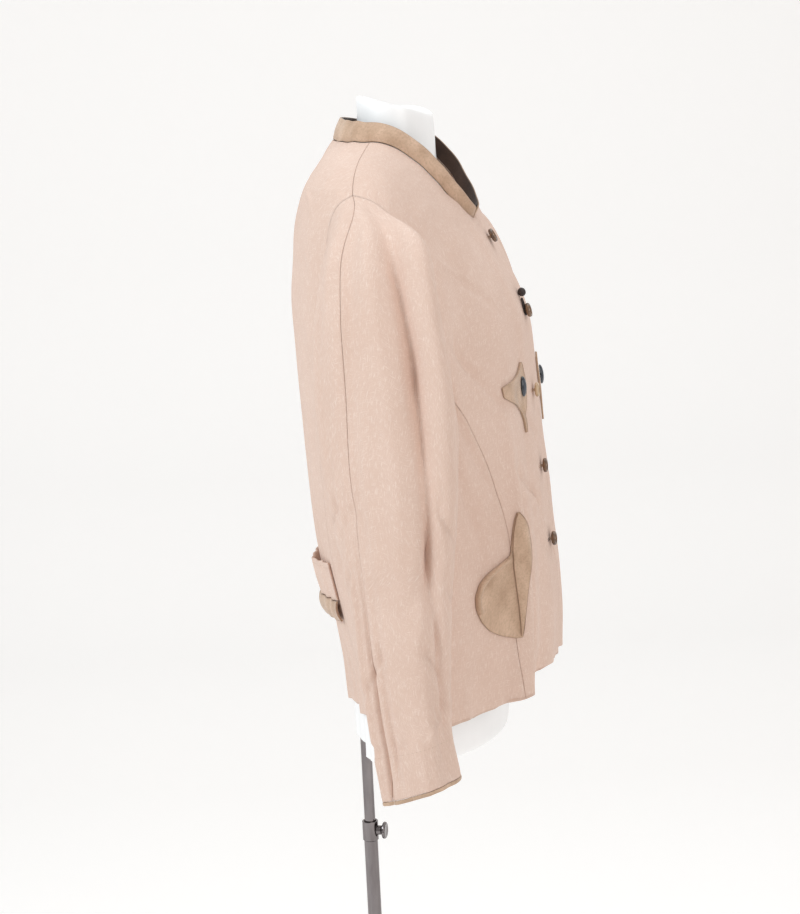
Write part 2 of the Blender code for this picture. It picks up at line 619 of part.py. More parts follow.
def back(name, side):
    """Half of the back, from the centre seam, cut in one with the back half of its sleeve."""
    levels = PANEL_LEVELS
    end = panel_edge(levels, side_back_turn, False)
    turns = end[:, None] * np.linspace(0.0, 1.0, BACK_COLUMNS)
    body = bodice_grid(side, turns, np.repeat(levels[:, None], BACK_COLUMNS, axis=1))
    return sheet(name, (body, half_sleeve(side, False)), CLOTH, "linen", SEAM_GAP * 0.6)


def side_panel(name, side):
    """The panel under the arm, whose upper edge is the lower half of the armhole."""
    steps = np.arange(ARMHOLE_STEPS - MEETING, MEETING - 1, -1)
    top_turn, top_level = armhole_place(steps)
    levels = PANEL_LEVELS[PANEL_LEVELS <= MEETING_LEVEL + 1e-6]
    grid = levels[:, None] * top_level / MEETING_LEVEL
    across = np.linspace(0.0, 1.0, len(steps))
    back, front = side_back_turn(grid), side_front_turn(grid)
    turns = back + across * (front - back)
    miss = top_turn - turns[-1]
    turns = turns + miss * smooth_step(0.45, 1.0, levels / MEETING_LEVEL)[:, None]
    return sheet(name, (bodice_grid(side, turns, grid),), CLOTH, "linen", SEAM_GAP * 0.6)


SLEEVE_PANEL_ROWS = np.concatenate([[0.0, 0.5], np.arange(1.0, 10.1, 0.75)])


def half_sleeve(side, front_half):
    """Points and normals of half of a sleeve, between the overarm seam and the underarm seam."""
    rows = SLEEVE_PANEL_ROWS
    seam = spline(OVERARM, rows)[:, 0]
    along = np.linspace(0.0, 1.0, ARMHOLE_STEPS // 2 + 1)
    if front_half:
        turns = seam[:, None] + (0.5 - seam[:, None]) * along
    else:
        turns = 0.5 + (0.5 + seam[:, None]) * along
    grid = np.repeat(rows[:, None], len(along), axis=1)
    if side > 0:
        turns = turns[:, ::-1]
    points = sleeve(side, turns, grid)
    points[0] = armhole_points(side, turns[0])
    return points, sleeve_normal(sleeve, side, turns, grid)


def armhole_points(side, turns):
    """The armhole's own points at turns of the sleeve, so that sleeve and bodice share them."""
    turn, level = armhole_place(np.asarray(turns) * ARMHOLE_STEPS)
    return bodice(mirrored(turn, side), level)


def cuff_trim(name, side):
    """The suede edge below a sleeve."""
    turns = np.repeat(np.linspace(0.0, 1.0, 24, endpoint=False)[None], 2, axis=0)
    rows = np.full(turns.shape, CUFF)
    points = sleeve(side, turns, rows)
    points[..., 2] -= np.array([SEAM_GAP + CUFF_TRIM, SEAM_GAP])[:, None]
    normals = sleeve_normal(sleeve, side, turns, rows)
    return shell(name, points, normals, CLOTH, "brown_leather", closed=True)


def collar_point(turn, height):
    """A point of the stand collar, height up from the neck seam along its lean."""
    base = bodice(turn, np.full(np.shape(turn), NECK))
    angle = math.pi * turn
    ahead = -np.cos(angle)
    lean = np.stack([0.22 * np.sin(angle), -(0.36 + 0.24 * np.maximum(ahead, 0)) * np.abs(ahead) ** 0.7,
                     np.full(np.shape(turn), 0.93)], axis=-1)
    return base + unit(lean) * np.asarray(height)[..., None]


def collar_band(name, inset, thick, finish_name):
    """One layer of the stand collar, inset in from its outer face."""
    columns = 33
    turns = np.linspace(1.0 - COLLAR_END, -1.0 + COLLAR_END, columns)
    share = np.linspace(0.0, 1.0, 3)[:, None]
    front = np.abs(turns) ** 1.6
    full = COLLAR_BACK + (COLLAR_FRONT - COLLAR_BACK) * front
    heights = 0.0005 + share * full
    grid = np.repeat(turns[None], 3, axis=0)
    points = collar_point(grid, heights)
    normals = unit(np.cross(np.gradient(points, axis=0), np.gradient(points, axis=1)))
    if normals[0, columns // 2, 1] < 0:
        normals = -normals
    return shell(name, points - normals * inset, normals, thick, finish_name)


def spaced_turn(centre, level, distance):
    """The turn at a distance along the ring from a centre turn."""
    step = 0.001
    speed = np.linalg.norm(bodice_base(centre + step, level) - bodice_base(centre - step, level), axis=-1)
    return centre + distance * 2 * step / speed


def panels_of(side):
    """The names of the panels at the front and the side of one half."""
    word = "right" if side < 0 else "left"
    return [f"front_{word}", f"side_{word}"]


def outline_patch(name, side, outline, turn, low_z, centre_slope, out, thick, finish_name):
    """A flat piece of suede on the bodice, whose outline is a table of heights and widths."""
    heights, side_width, front_width = np.array(outline).T
    columns = 9
    across = np.sin(np.linspace(-math.pi / 2, math.pi / 2, columns))
    centre = turn + centre_slope * heights
    level = level_at(centre, low_z + heights)
    widths = np.where(across < 0, side_width[:, None], front_width[:, None])
    turns = spaced_turn(centre[:, None], level[:, None], across * widths)
    levels = level_at(turns, (low_z + heights)[:, None])
    turns = mirrored(turns, side)
    if side > 0:
        turns, levels = turns[:, ::-1], levels[:, ::-1]
    normals = surface_normal(bodice, turns, levels)
    points = settled(bodice(turns, levels), normals, panels_of(side), out) + normals * thick
    return shell(name, points, normals, thick, finish_name)


def pocket_welt(name, side):
    """The bound mouth of a pocket, along the upper outer curve of the suede."""
    count, width = 13, 0.0065
    path = np.linspace(0.032, 0.0820, count)
    half = np.interp(path, np.array(POCKET_OUTLINE)[:, 0], np.array(POCKET_OUTLINE)[:, 1])
    slope = np.gradient(half, path)
    inward = np.stack([np.ones(count), slope], axis=-1)
    inward = inward / np.linalg.norm(inward, axis=1, keepdims=True)
    taper = width * (1 - 0.45 * smooth_step(0.6, 1.0, np.linspace(0, 1, count)))
    share = np.linspace(0.0, 1.0, 4)
    along = -half[:, None] + inward[:, :1] * taper[:, None] * share
    up = path[:, None] + inward[:, 1:] * taper[:, None] * share
    centre = POCKET_TURN + POCKET_SLOPE * up
    level = level_at(centre, POCKET_Z + up)
    turns = spaced_turn(centre, level, along)
    levels = level_at(turns, POCKET_Z + up)
    turns = mirrored(turns, side)
    if side > 0:
        turns, levels = turns[:, ::-1], levels[:, ::-1]
    normals = surface_normal(bodice, turns, levels)
    seats = panels_of(side) + [name.replace("_welt", "")]
    points = settled(bodice(turns, levels), normals, seats, SETTLE_GAP)
    inner = WELT_THICK * (0.75 + 0.25 * np.sin(math.pi * share))
    inner = (inner if side < 0 else inner[::-1])[None, :, None]
    return shell(name, points + normals * inner, normals * inner, 1.0, "suede")


def surface_frame(turn, z, seat, out):
    """A frame on a piece of the bodice: origin out of its face, local Z outward, local Y up."""
    level = level_at(turn, z)
    normal = surface_normal(bodice, turn, level)
    origin = Vector(seated(bodice(turn, level), normal, [seat]))
    outward = Vector(normal).normalized()
    right = Vector((0.0, 0.0, 1.0)).cross(outward).normalized()
    up = outward.cross(right)
    rotation = Matrix((right, up, outward)).transposed().to_4x4()
    return Matrix.Translation(origin + outward * out) @ rotation


def button(name, z):
    """A horn button: a dished face with a rim, on a short shank of thread."""
    rim, face = BUTTON_RADIUS, BUTTON_RADIUS * 0.72
    base, top = BUTTON_SHANK, BUTTON_SHANK + BUTTON_HEIGHT
    profile = ((0.0, 0.0), (0.0028, 0.0), (0.0028, base), (rim * 0.86, base), (rim, base + 0.0014),
               (rim, top - 0.0010), (rim * 0.93, top), (rim * 0.82, top), (face, top - 0.0012),
               (0.0, top - 0.0014))
    frame = surface_frame(1.0, z, "front_right", 2 * SEAM_GAP)
    return turned(name, profile, 18, "horn", frame)


def chest_stud(name, side):
    """The dark oval stud in the middle of a chest patch."""
    profile = ((0.0, 0.0), (0.0075, 0.0), (0.0080, 0.0012), (0.0062, 0.0032), (0.0, 0.0042))
    squeeze = Matrix.Diagonal((0.70, 1.35, 1.0, 1.0))
    turn = float(mirrored(np.float64(CHEST_TURN[side] - 0.004), side))
    patch = name.replace("stud", "patch")
    frame = surface_frame(turn, CHEST_Z + 0.048, patch, 2 * SEAM_GAP) @ squeeze
    return turned(name, profile, 16, "dark_stud", frame)


def cord_loop(name):
    """The dark cord round the second button's shank, crossed to a knot above it."""
    z = BUTTON_Z[1]
    frame = surface_frame(1.0, z, "front_right", 2 * SEAM_GAP + CORD_RADIUS)
    points = []
    count = 20
    for k in range(count):
        angle = 2 * math.pi * k / count
        wide = 0.0044 + 0.0004 * math.cos(angle)
        rise = 0.0085 * max(math.cos(angle), 0.0) ** 2
        points.append(frame @ Vector((wide * math.sin(angle), wide * math.cos(angle) + rise, 0.0)))
    points = np.array(points)
    rings, sides = count, 5
    along = unit(np.roll(points, -1, axis=0) - np.roll(points, 1, axis=0))
    outward = np.array(frame.to_3x3() @ Vector((0.0, 0.0, 1.0)))
    vertices, faces = [], []
    for point, direction in zip(points, along):
        first = unit(np.cross(direction, outward))
        for k in range(sides):
            angle = 2 * math.pi * k / sides
            vertices.append(point + CORD_RADIUS * (math.cos(angle) * first + math.sin(angle) * outward))
    for i in range(rings):
        for k in range(sides):
            a, b = i * sides + k, i * sides + (k + 1) % sides
            c, d = ((i + 1) % rings) * sides + (k + 1) % sides, ((i + 1) % rings) * sides + k
            faces.append((a, b, c, d))
    return add_object(name, vertices, faces, "brown_leather")


def cord_knot(name):
    """The knot that ends the cord loop, a small rounded knob."""
    frame = surface_frame(1.0, BUTTON_Z[1] + 0.0180, "front_right", SEAM_GAP)
    profile = [(0.0, 0.0)]
    for k in range(1, 7):
        angle = math.pi * k / 7
        profile.append((0.0046 * math.sin(angle), 0.0042 * (1 - math.cos(angle))))
    profile.append((0.0, 0.0084))
    return turned(name, profile, 12, "brown_leather", frame)


def belt_band(name, low, high, lift, thick, finish_name, rows):
    """A stretch of the half-belt: sewn down at its ends and standing off the centre back."""
    turns = np.linspace(BELT_REACH, -BELT_REACH, 23)
    heights = np.linspace(low, high, rows)
    grid = np.repeat(turns[None], rows, axis=0)
    levels = level_at(grid, heights[:, None] + 0.010 * (np.abs(grid) / BELT_REACH) ** 2)
    mean = np.repeat(level_at(turns, (BELT_LOW + BELT_HIGH) / 2)[None], rows, axis=0)
    normals = unit(surface_normal(bodice_base, grid, mean) * np.array([1.0, 1.0, 0.15]))
    points = settled(bodice(grid, levels), normals, ["back_right", "back_left"], lift)
    stand = BELT_BOW * np.cos(math.pi / 2 * grid / BELT_REACH) ** 1.5
    points = points + normals * (stand + thick)[..., None]
    return shell(name, points, normals, thick, finish_name)


# ---------------------------------------------------------------- the form and its stand
def form_ring(back, front, middle, half, back_z, side_z, front_z, turns):
    """One ring of the form."""
    angle = math.pi * turns
    ahead = -np.cos(angle)
    reach = np.where(ahead < 0, middle - back, front - middle)
    end_z = np.where(ahead < 0, back_z, front_z)
    z = side_z + (end_z - side_z) * ahead ** 2
    return np.stack([-half * np.sin(angle), -(middle + reach * ahead), z], axis=-1)


def held_inside(ring):
    """A level ring of the form, drawn in wherever it would come too near the cloth around it."""
    middle = np.array([0.0, -FORM_AXIS])
    turns = np.linspace(0.0, 2.0, 120, endpoint=False)
    cloth = bodice(turns, level_at(turns, ring[0, 2]))[:, :2] - middle
    bearing = np.arctan2(cloth[:, 0], cloth[:, 1])
    order = np.argsort(bearing)
    near = ring[:, :2] - middle
    reach = np.linalg.norm(near, axis=1)
    limit = np.interp(np.arctan2(near[:, 0], near[:, 1]), bearing[order],
                      np.linalg.norm(cloth, axis=1)[order], period=2 * math.pi)
    ring = ring.copy()
    ring[:, :2] = middle + near * (np.minimum(reach, limit - CLOTH - FORM_ROOM) / reach)[:, None]
    return ring


def dress_form(name):
    """The limbless form: hips to neck, with the jacket's own shoulders just under the cloth."""
    back = np.linspace(0.0, 0.5, BACK_COLUMNS)
    ahead = np.linspace(0.5, float(turn_at(SHOULDER + 0.65, FRONT_LAP)), FRONT_COLUMNS)
    right = np.concatenate([back[:-1], ahead[:-1]])
    turns = np.concatenate([right, 2.0 - right[:0:-1]])
    rings = []
    for row in FORM_ROWS:
        ring = dict(zip(FORM_COLUMNS, row))
        z = ring["z"]
        rings.append(held_inside(form_ring(ring["back"], ring["front"], ring["middle"],
                                           ring["half_width"], z, z, z, turns)))
    near = np.minimum(turns, 2.0 - turns)
    fall = FORM_CHEST_FALL * smooth_step(0.62, 0.92, near) + FORM_BACK_FALL * smooth_step(0.30, 0.05, near)
    for level in FORM_SHOULDER_LEVELS:
        levels = np.full(turns.shape, level)
        depth = CLOTH + FORM_REST + fall * (1.0 if level > SHOULDER else 1.4)
        rings.append(bodice(turns, levels) - surface_normal(bodice, turns, levels) * depth[:, None])
    for row in FORM_NECK:
        ring = dict(zip(NECK_COLUMNS, row))
        side_z = (ring["back_z"] + ring["front_z"]) / 2
        rings.append(form_ring(ring["back"], ring["front"], ring["middle"], ring["half_width"],
                               ring["back_z"], side_z, ring["front_z"], turns))
    flat = np.array(rings)
    vertices = list(flat.reshape(-1, 3))
    count = flat.shape[1]
    faces = []
    for i in range(len(flat) - 1):
        for j in range(count):
            k = (j + 1) % count
            faces.append((i * count + j, i * count + k, (i + 1) * count + k, (i + 1) * count + j))
    for ring, flip in ((0, True), (len(flat) - 1, False)):
        middle = len(vertices)
        vertices.append(flat[ring].mean(axis=0))
        for j in range(count):
            k = (j + 1) % count
            a, b = ring * count + j, ring * count + k
            faces.append((a, b, middle) if not flip else (b, a, middle))
    form = add_object(name, vertices, faces, "form_white")
    socket = turned("socket_cutter", ((0.0, FORM_BOTTOM - 0.02), (POLE_RADIUS + POLE_FIT, FORM_BOTTOM - 0.02),
                                      (POLE_RADIUS + POLE_FIT, FORM_BOTTOM + POLE_SOCKET),
                                      (0.0, FORM_BOTTOM + POLE_SOCKET)), 20, "form_white")
    cut(form, socket)
    return form


def stand():
    """Base, lower tube, clamp with its screw, and the pole that slides in them."""
    bore = TUBE_RADIUS + POLE_FIT
    turned("base", ((0.0, 0.0), (BASE_RADIUS - 0.002, 0.0), (BASE_RADIUS, 0.002), (BASE_RADIUS, 0.005),
                    (BASE_RADIUS - 0.003, BASE_THICK - 0.001), (BASE_RADIUS - 0.010, BASE_THICK),
                    (HUB_RADIUS + 0.006, BASE_THICK + 0.002), (HUB_RADIUS, BASE_THICK + 0.006),
                    (HUB_RADIUS - 0.003, HUB_TOP), (bore, HUB_TOP), (bore, BASE_THICK + 0.001),
                    (0.0, BASE_THICK + 0.001)), 36, "base_metal")
    foot = BASE_THICK + 0.001 + SEAM_GAP
    inside = POLE_RADIUS + POLE_FIT
    turned("lower_tube", ((0.0, foot), (TUBE_RADIUS, foot), (TUBE_RADIUS, TUBE_TOP), (inside, TUBE_TOP),
                          (inside, foot + 0.010), (0.0, foot + 0.010)), 20, "chrome")
    clamp_low = TUBE_TOP + SEAM_GAP
    clamp = turned("pole_clamp", ((CLAMP_RADIUS, clamp_low), (CLAMP_RADIUS, CLAMP_TOP - 0.001),
                                  (CLAMP_RADIUS - 0.001, CLAMP_TOP), (inside + 0.001, CLAMP_TOP),
                                  (inside, CLAMP_TOP - 0.001), (inside, clamp_low)), 24, "chrome")
    middle = (clamp_low + CLAMP_TOP) / 2
    forward = Matrix.Translation((0.0, 0.0, middle)) @ Matrix.Rotation(math.pi / 2, 4, "X")
    boss = turned("boss", ((0.0, CLAMP_RADIUS - 0.0015), (CLAMP_BOSS, CLAMP_RADIUS - 0.0015),
                           (CLAMP_BOSS, KNOB_NEAR - SEAM_GAP), (0.0, KNOB_NEAR - SEAM_GAP)), 20, "chrome",
                  forward)
    join(clamp, boss)
    hole = turned("hole", ((0.0, 0.0), (SCREW_RADIUS + POLE_FIT, 0.0), (SCREW_RADIUS + POLE_FIT, 0.02),
                           (0.0, 0.02)), 16, "chrome", forward)
    cut(clamp, hole)
    knob = [(0.0, inside), (SCREW_RADIUS, inside), (SCREW_RADIUS, KNOB_NEAR),
            (KNOB_RADIUS - 0.001, KNOB_NEAR), (KNOB_RADIUS, KNOB_NEAR + 0.001),
            (KNOB_RADIUS, KNOB_FAR - 0.0015), (KNOB_RADIUS - 0.0015, KNOB_FAR), (0.0, KNOB_FAR)]
    turned("clamp_screw", knob, 24, "chrome", forward)
    turned("upper_pole", ((0.0, POLE_FOOT), (POLE_RADIUS, POLE_FOOT),
                          (POLE_RADIUS, FORM_BOTTOM + POLE_SOCKET - SEAM_GAP),
                          (0.0, FORM_BOTTOM + POLE_SOCKET - SEAM_GAP)), 20, "chrome")


def join(body, other):
    """Unite another solid with a body, and remove it."""
    modifier = body.modifiers.new("join", "BOOLEAN")
    modifier.operation = "UNION"
    modifier.solver = "EXACT"
    modifier.object = other
    evaluated = body.evaluated_get(bpy.context.evaluated_depsgraph_get())
    mesh = bpy.data.meshes.new_from_object(evaluated)
    body.modifiers.clear()
    body.data = mesh
    bpy.data.objects.remove(other)


def blazer():
    """Every piece that is cut and sewn."""
    for side, word in ((-1, "right"), (1, "left")):
        back(f"back_{word}", side)
        side_panel(f"side_{word}", side)
        front(f"front_{word}", side)
        cuff_trim(f"cuff_trim_{word}", side)
        outline_patch(f"pocket_{word}", side, POCKET_OUTLINE, POCKET_TURN, POCKET_Z, POCKET_SLOPE,
                      SETTLE_GAP, SUEDE, "suede")
        pocket_welt(f"pocket_welt_{word}", side)
        outline_patch(f"chest_patch_{word}", side, CHEST_OUTLINE, CHEST_TURN[side], CHEST_Z, 0.0,
                      SETTLE_GAP, SUEDE, "suede")
        chest_stud(f"chest_stud_{word}", side)
    collar_band("collar", 0.0, SUEDE, "suede")
    collar_band("collar_lining", SUEDE + SEAM_GAP, SUEDE * 0.8, "brown_leather")
    for number, z in enumerate(BUTTON_Z, start=1):
        button(f"button_{number}", z)
    cord_loop("button_cord")
    cord_knot("button_cord_knot")
    belt_band("half_belt", BELT_LOW, BELT_HIGH, SEAM_GAP, BELT_THICK, "linen", 3)
    belt_band("half_belt_trim", BELT_TRIM_LOW, BELT_LOW - 0.0005, SEAM_GAP + 0.001, BELT_THICK, "suede", 3)


for leftover in list(bpy.data.objects):
    bpy.data.objects.remove(leftover)
stand()
dress_form("dress_form")
blazer()
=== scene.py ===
# %% [markdown]
# # A linen blazer with suede trim, on a dress form
# The imported model is the frame: every piece below stands for one of its nodes, follows the same
# tables of sizes, and rides on the same body. The frame is loaded first, and its box is kept, to be
# printed beside the box of the finished scene.

# %% Load the frame
import math

import bmesh
import bpy
import numpy as np
from mathutils import Matrix, Vector
from mathutils.bvhtree import BVHTree
from mathutils.kdtree import KDTree


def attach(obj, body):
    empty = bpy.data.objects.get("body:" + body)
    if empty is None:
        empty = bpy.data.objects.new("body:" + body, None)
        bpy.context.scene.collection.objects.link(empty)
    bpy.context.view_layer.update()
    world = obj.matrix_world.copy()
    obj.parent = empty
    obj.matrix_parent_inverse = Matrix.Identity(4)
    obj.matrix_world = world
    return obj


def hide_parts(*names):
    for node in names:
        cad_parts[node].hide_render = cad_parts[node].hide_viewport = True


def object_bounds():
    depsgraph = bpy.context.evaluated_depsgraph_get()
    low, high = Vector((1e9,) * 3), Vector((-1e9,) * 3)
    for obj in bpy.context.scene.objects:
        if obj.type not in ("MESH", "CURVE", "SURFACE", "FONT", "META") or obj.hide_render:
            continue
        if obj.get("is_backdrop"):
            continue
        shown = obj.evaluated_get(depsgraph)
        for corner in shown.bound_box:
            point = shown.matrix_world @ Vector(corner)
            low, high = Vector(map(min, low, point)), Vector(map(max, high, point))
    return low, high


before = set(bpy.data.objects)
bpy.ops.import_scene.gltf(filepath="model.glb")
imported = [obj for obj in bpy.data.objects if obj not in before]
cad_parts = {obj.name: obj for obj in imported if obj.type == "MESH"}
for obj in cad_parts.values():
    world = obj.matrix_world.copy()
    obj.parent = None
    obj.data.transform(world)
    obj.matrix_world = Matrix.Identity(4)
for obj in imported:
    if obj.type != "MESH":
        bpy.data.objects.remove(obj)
cad_box = [list(corner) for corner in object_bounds()]
print("CAD box", cad_box)

# %% [markdown]
# ## Camera, light and background
# The photograph looks at the wearer's right side, a little from the front and from above, with a
# slight roll. The camera is placed from a fit of the pole, the buttons and the hem. The room is
# white and evenly lit, so a pale world fills the shade and three large soft lamps give form: a cool
# window from behind, a warmer fill from the front and one from above.

# %% The camera
CAMERA_BEARING = math.radians(76)       # of the line of sight, from straight ahead of the wearer
CAMERA_PITCH = math.radians(9.0)
CAMERA_ROLL = math.radians(2.8)
CAMERA_AWAY, CAMERA_HEIGHT, CAMERA_ASIDE = 2.12, 1.42, 0.0527
FOCAL_PIXELS, FRAME_PIXELS = 2000.0, 914.0

ahead = Vector((math.sin(CAMERA_BEARING), math.cos(CAMERA_BEARING), 0.0))
aside = Vector((math.cos(CAMERA_BEARING), -math.sin(CAMERA_BEARING), 0.0))
look = ahead * math.cos(CAMERA_PITCH) - Vector((0.0, 0.0, math.sin(CAMERA_PITCH)))
above = aside.cross(look)
right = aside * math.cos(CAMERA_ROLL) - above * math.sin(CAMERA_ROLL)
above = right.cross(look)
camera_data = bpy.data.cameras.new("camera")
camera_data.sensor_fit = "VERTICAL"
camera_data.sensor_height = 36.0
camera_data.lens = FOCAL_PIXELS * 36.0 / FRAME_PIXELS
camera = bpy.data.objects.new("camera", camera_data)
place = -ahead * CAMERA_AWAY + aside * CAMERA_ASIDE + Vector((0.0, 0.0, CAMERA_HEIGHT))
camera.matrix_world = Matrix.Translation(place) @ Matrix((right, above, -look)).transposed().to_4x4()
bpy.context.scene.collection.objects.link(camera)
bpy.context.scene.camera = camera
print("camera at", tuple(round(v, 3) for v in place))

# %% The lamps and the white room
scene = bpy.context.scene
scene.view_settings.view_transform = "Standard"
world = bpy.data.worlds.new("white_room")
world.use_nodes = True
world.node_tree.nodes["Background"].inputs["Color"].default_value = (1.0, 0.985, 0.97, 1.0)
tracing = world.node_tree.nodes.new("ShaderNodeLightPath")
seen = world.node_tree.nodes.new("ShaderNodeMapRange")
seen.inputs["To Min"].default_value = 0.50      # as it lights the cloth
seen.inputs["To Max"].default_value = 0.88      # as the camera sees it past the sweep
world.node_tree.links.new(tracing.outputs["Is Camera Ray"], seen.inputs["Value"])
world.node_tree.links.new(seen.outputs["Result"], world.node_tree.nodes["Background"].inputs["Strength"])
scene.world = world


def lamp(name, energy, size, colour, position, target):
    """A large soft lamp that faces a target."""
    data = bpy.data.lights.new(name, "AREA")
    data.energy, data.size, data.color = energy, size, colour
    thing = bpy.data.objects.new(name, data)
    thing.location = position
    thing.rotation_euler = (Vector(target) - Vector(position)).to_track_quat("-Z", "Y").to_euler()
    bpy.context.scene.collection.objects.link(thing)
    return thing


lamp("window", 56.0, 1.3, (0.86, 0.95, 1.0), (-1.9, 1.7, 2.9), (0.0, -0.05, 1.15))
lamp("fill", 32.0, 2.0, (1.0, 0.98, 0.96), (-2.1, -2.8, 2.3), (0.0, -0.1, 1.1))
lamp("top_light", 22.0, 1.8, (0.92, 0.97, 1.0), (0.4, -0.6, 3.4), (0.0, -0.1, 1.1))

# %% The floor and the sweep behind it
SWEEP = ((-6.0, 0.0), (2.2, 0.0), (2.9, 0.12), (3.4, 0.5), (3.7, 1.1), (3.8, 2.0), (3.8, 6.0))
sweep_mesh = bpy.data.meshes.new("sweep")
sweep_points = []
for out, up in SWEEP:
    for across in (-7.0, 7.0):
        spot = ahead * out + aside * across
        sweep_points.append((spot.x, spot.y, up - 0.0005))
sweep_mesh.from_pydata(sweep_points, [], [(2 * i, 2 * i + 1, 2 * i + 3,
                                           2 * i + 2) for i in range(len(SWEEP) - 1)])
sweep_mesh.shade_smooth()
sweep = bpy.data.objects.new("sweep", sweep_mesh)
bpy.context.scene.collection.objects.link(sweep)
sweep_paint = bpy.data.materials.new("sweep_white")
sweep_paint.use_nodes = True
sweep_paint.node_tree.nodes["Principled BSDF"].inputs["Base Color"].default_value = (0.95, 0.93, 0.915, 1.0)
sweep_paint.node_tree.nodes["Principled BSDF"].inputs["Roughness"].default_value = 0.95
sweep_paint.node_tree.nodes["Principled BSDF"].inputs["Specular IOR Level"].default_value = 0.1
sweep_paint.node_tree.nodes["Principled BSDF"].inputs["Emission Color"].default_value = (1.0, 0.995, 0.99,
    1.0)
sweep_paint.node_tree.nodes["Principled BSDF"].inputs["Emission Strength"].default_value = 0.15
sweep_mesh.materials.append(sweep_paint)
sweep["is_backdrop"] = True

# %% [markdown]
# ## Materials
# Every finish is made of nodes. Effects that several finishes share, a plain weave with slubs, the
# clouded nap of suede and fine grain, are node groups that are built once. Cloth carries a UV map in
# metres along its own grain, so threads keep their real size, about nine to the centimetre.


# %% Node helpers
def new_group(name, inputs, outputs):
    """An empty shader node group with named sockets."""
    group = bpy.data.node_groups.new(name, "ShaderNodeTree")
    for title, kind, value in inputs:
        socket = group.interface.new_socket(title, in_out="INPUT", socket_type=kind)
        if value is not None:
            socket.default_value = value
    for title, kind in outputs:
        group.interface.new_socket(title, in_out="OUTPUT", socket_type=kind)
    return group, group.nodes.new("NodeGroupInput"), group.nodes.new("NodeGroupOutput")


def maths(tree, operation, first, second=None, third=None):
    """A Math node whose inputs are sockets or numbers; its result."""
    node = tree.nodes.new("ShaderNodeMath")
    node.operation = operation
    for slot, value in enumerate((first, second, third)):
        if value is None:
            continue
        if isinstance(value, (int, float)):
            node.inputs[slot].default_value = value
        else:
            tree.links.new(value, node.inputs[slot])
    return node.outputs[0]


def scaled(tree, vector, factors):
    """A vector with its parts multiplied by fixed factors."""
    node = tree.nodes.new("ShaderNodeVectorMath")
    node.operation = "MULTIPLY"
    tree.links.new(vector, node.inputs[0])
    node.inputs[1].default_value = factors
    return node.outputs[0]


def noise(tree, vector, scale, detail=3.0, rough=0.5):
    """The value of a noise texture."""
    node = tree.nodes.new("ShaderNodeTexNoise")
    tree.links.new(vector, node.inputs["Vector"])
    node.inputs["Scale"].default_value = scale
    node.inputs["Detail"].default_value = detail
    node.inputs["Roughness"].default_value = rough
    return node.outputs["Fac"]


def remap(tree, value, low, high, to_low=0.0, to_high=1.0):
    """A value stretched from one range to another, and held there."""
    node = tree.nodes.new("ShaderNodeMapRange")
    tree.links.new(value, node.inputs["Value"])
    for title, number in (("From Min", low), ("From Max", high), ("To Min", to_low), ("To Max", to_high)):
        node.inputs[title].default_value = number
    return node.outputs["Result"]


def mixed(tree, factor, first, second):
    """Two colours mixed by a factor; each colour is a socket or four numbers."""
    node = tree.nodes.new("ShaderNodeMix")
    node.data_type = "RGBA"
    tree.links.new(factor, node.inputs["Factor"])
    for slot, value in ((6, first), (7, second)):
        if isinstance(value, tuple):
            node.inputs[slot].default_value = value
        else:
            tree.links.new(value, node.inputs[slot])
    return node.outputs[2]


# %% The weave group
def weave_group():
    """Plain weave with slubs: a height for the bump, and masks for the thick and the thin threads."""
    group, given, out = new_group(
        "plain_weave",
        (("Vector", "NodeSocketVector", None), ("Threads", "NodeSocketFloat", 900.0),
         ("Waviness", "NodeSocketFloat", 0.5)),
        (("Height", "NodeSocketFloat"), ("Slub", "NodeSocketFloat"), ("Cloud", "NodeSocketFloat")))
    vector = given.outputs["Vector"]
    bend = noise(group, vector, 220.0, 2.0)
    bend = maths(group, "MULTIPLY", maths(group, "SUBTRACT", bend, 0.5), given.outputs["Waviness"])
    split = group.nodes.new("ShaderNodeSeparateXYZ")
    group.links.new(vector, split.inputs[0])
    turns = []
    for axis in ("X", "Y"):
        count = maths(group, "MULTIPLY", split.outputs[axis], given.outputs["Threads"])
        turns.append(maths(group, "MULTIPLY", maths(group, "ADD", count, bend), math.pi))
    warp = maths(group, "ABSOLUTE", maths(group, "SINE", turns[0]))
    weft = maths(group, "ABSOLUTE", maths(group, "SINE", turns[1]))
    over = maths(group, "MULTIPLY", maths(group, "SINE", maths(group, "MULTIPLY", turns[0], 0.5)),
                 maths(group, "SINE", maths(group, "MULTIPLY", turns[1], 0.5)))
    over = maths(group, "ADD", maths(group, "MULTIPLY", over, 0.5), 0.5)
    height = maths(group, "ADD", maths(group, "MULTIPLY", warp, over),
                   maths(group, "MULTIPLY", weft, maths(group, "SUBTRACT", 1.0, over)))
    long_way = noise(group, scaled(group, vector, (900.0, 120.0, 1.0)), 1.0, 3.0, 0.7)
    cross_way = noise(group, scaled(group, vector, (140.0, 950.0, 1.0)), 1.0, 3.0, 0.7)
    slub = maths(group, "MAXIMUM", remap(group, long_way, 0.54, 0.72), remap(group, cross_way, 0.56, 0.76))
    group.links.new(maths(group, "ADD", height, maths(group, "MULTIPLY", slub, 0.8)), out.inputs["Height"])
    group.links.new(slub, out.inputs["Slub"])
    group.links.new(noise(group, vector, 9.0, 4.0, 0.6), out.inputs["Cloud"])
    return group


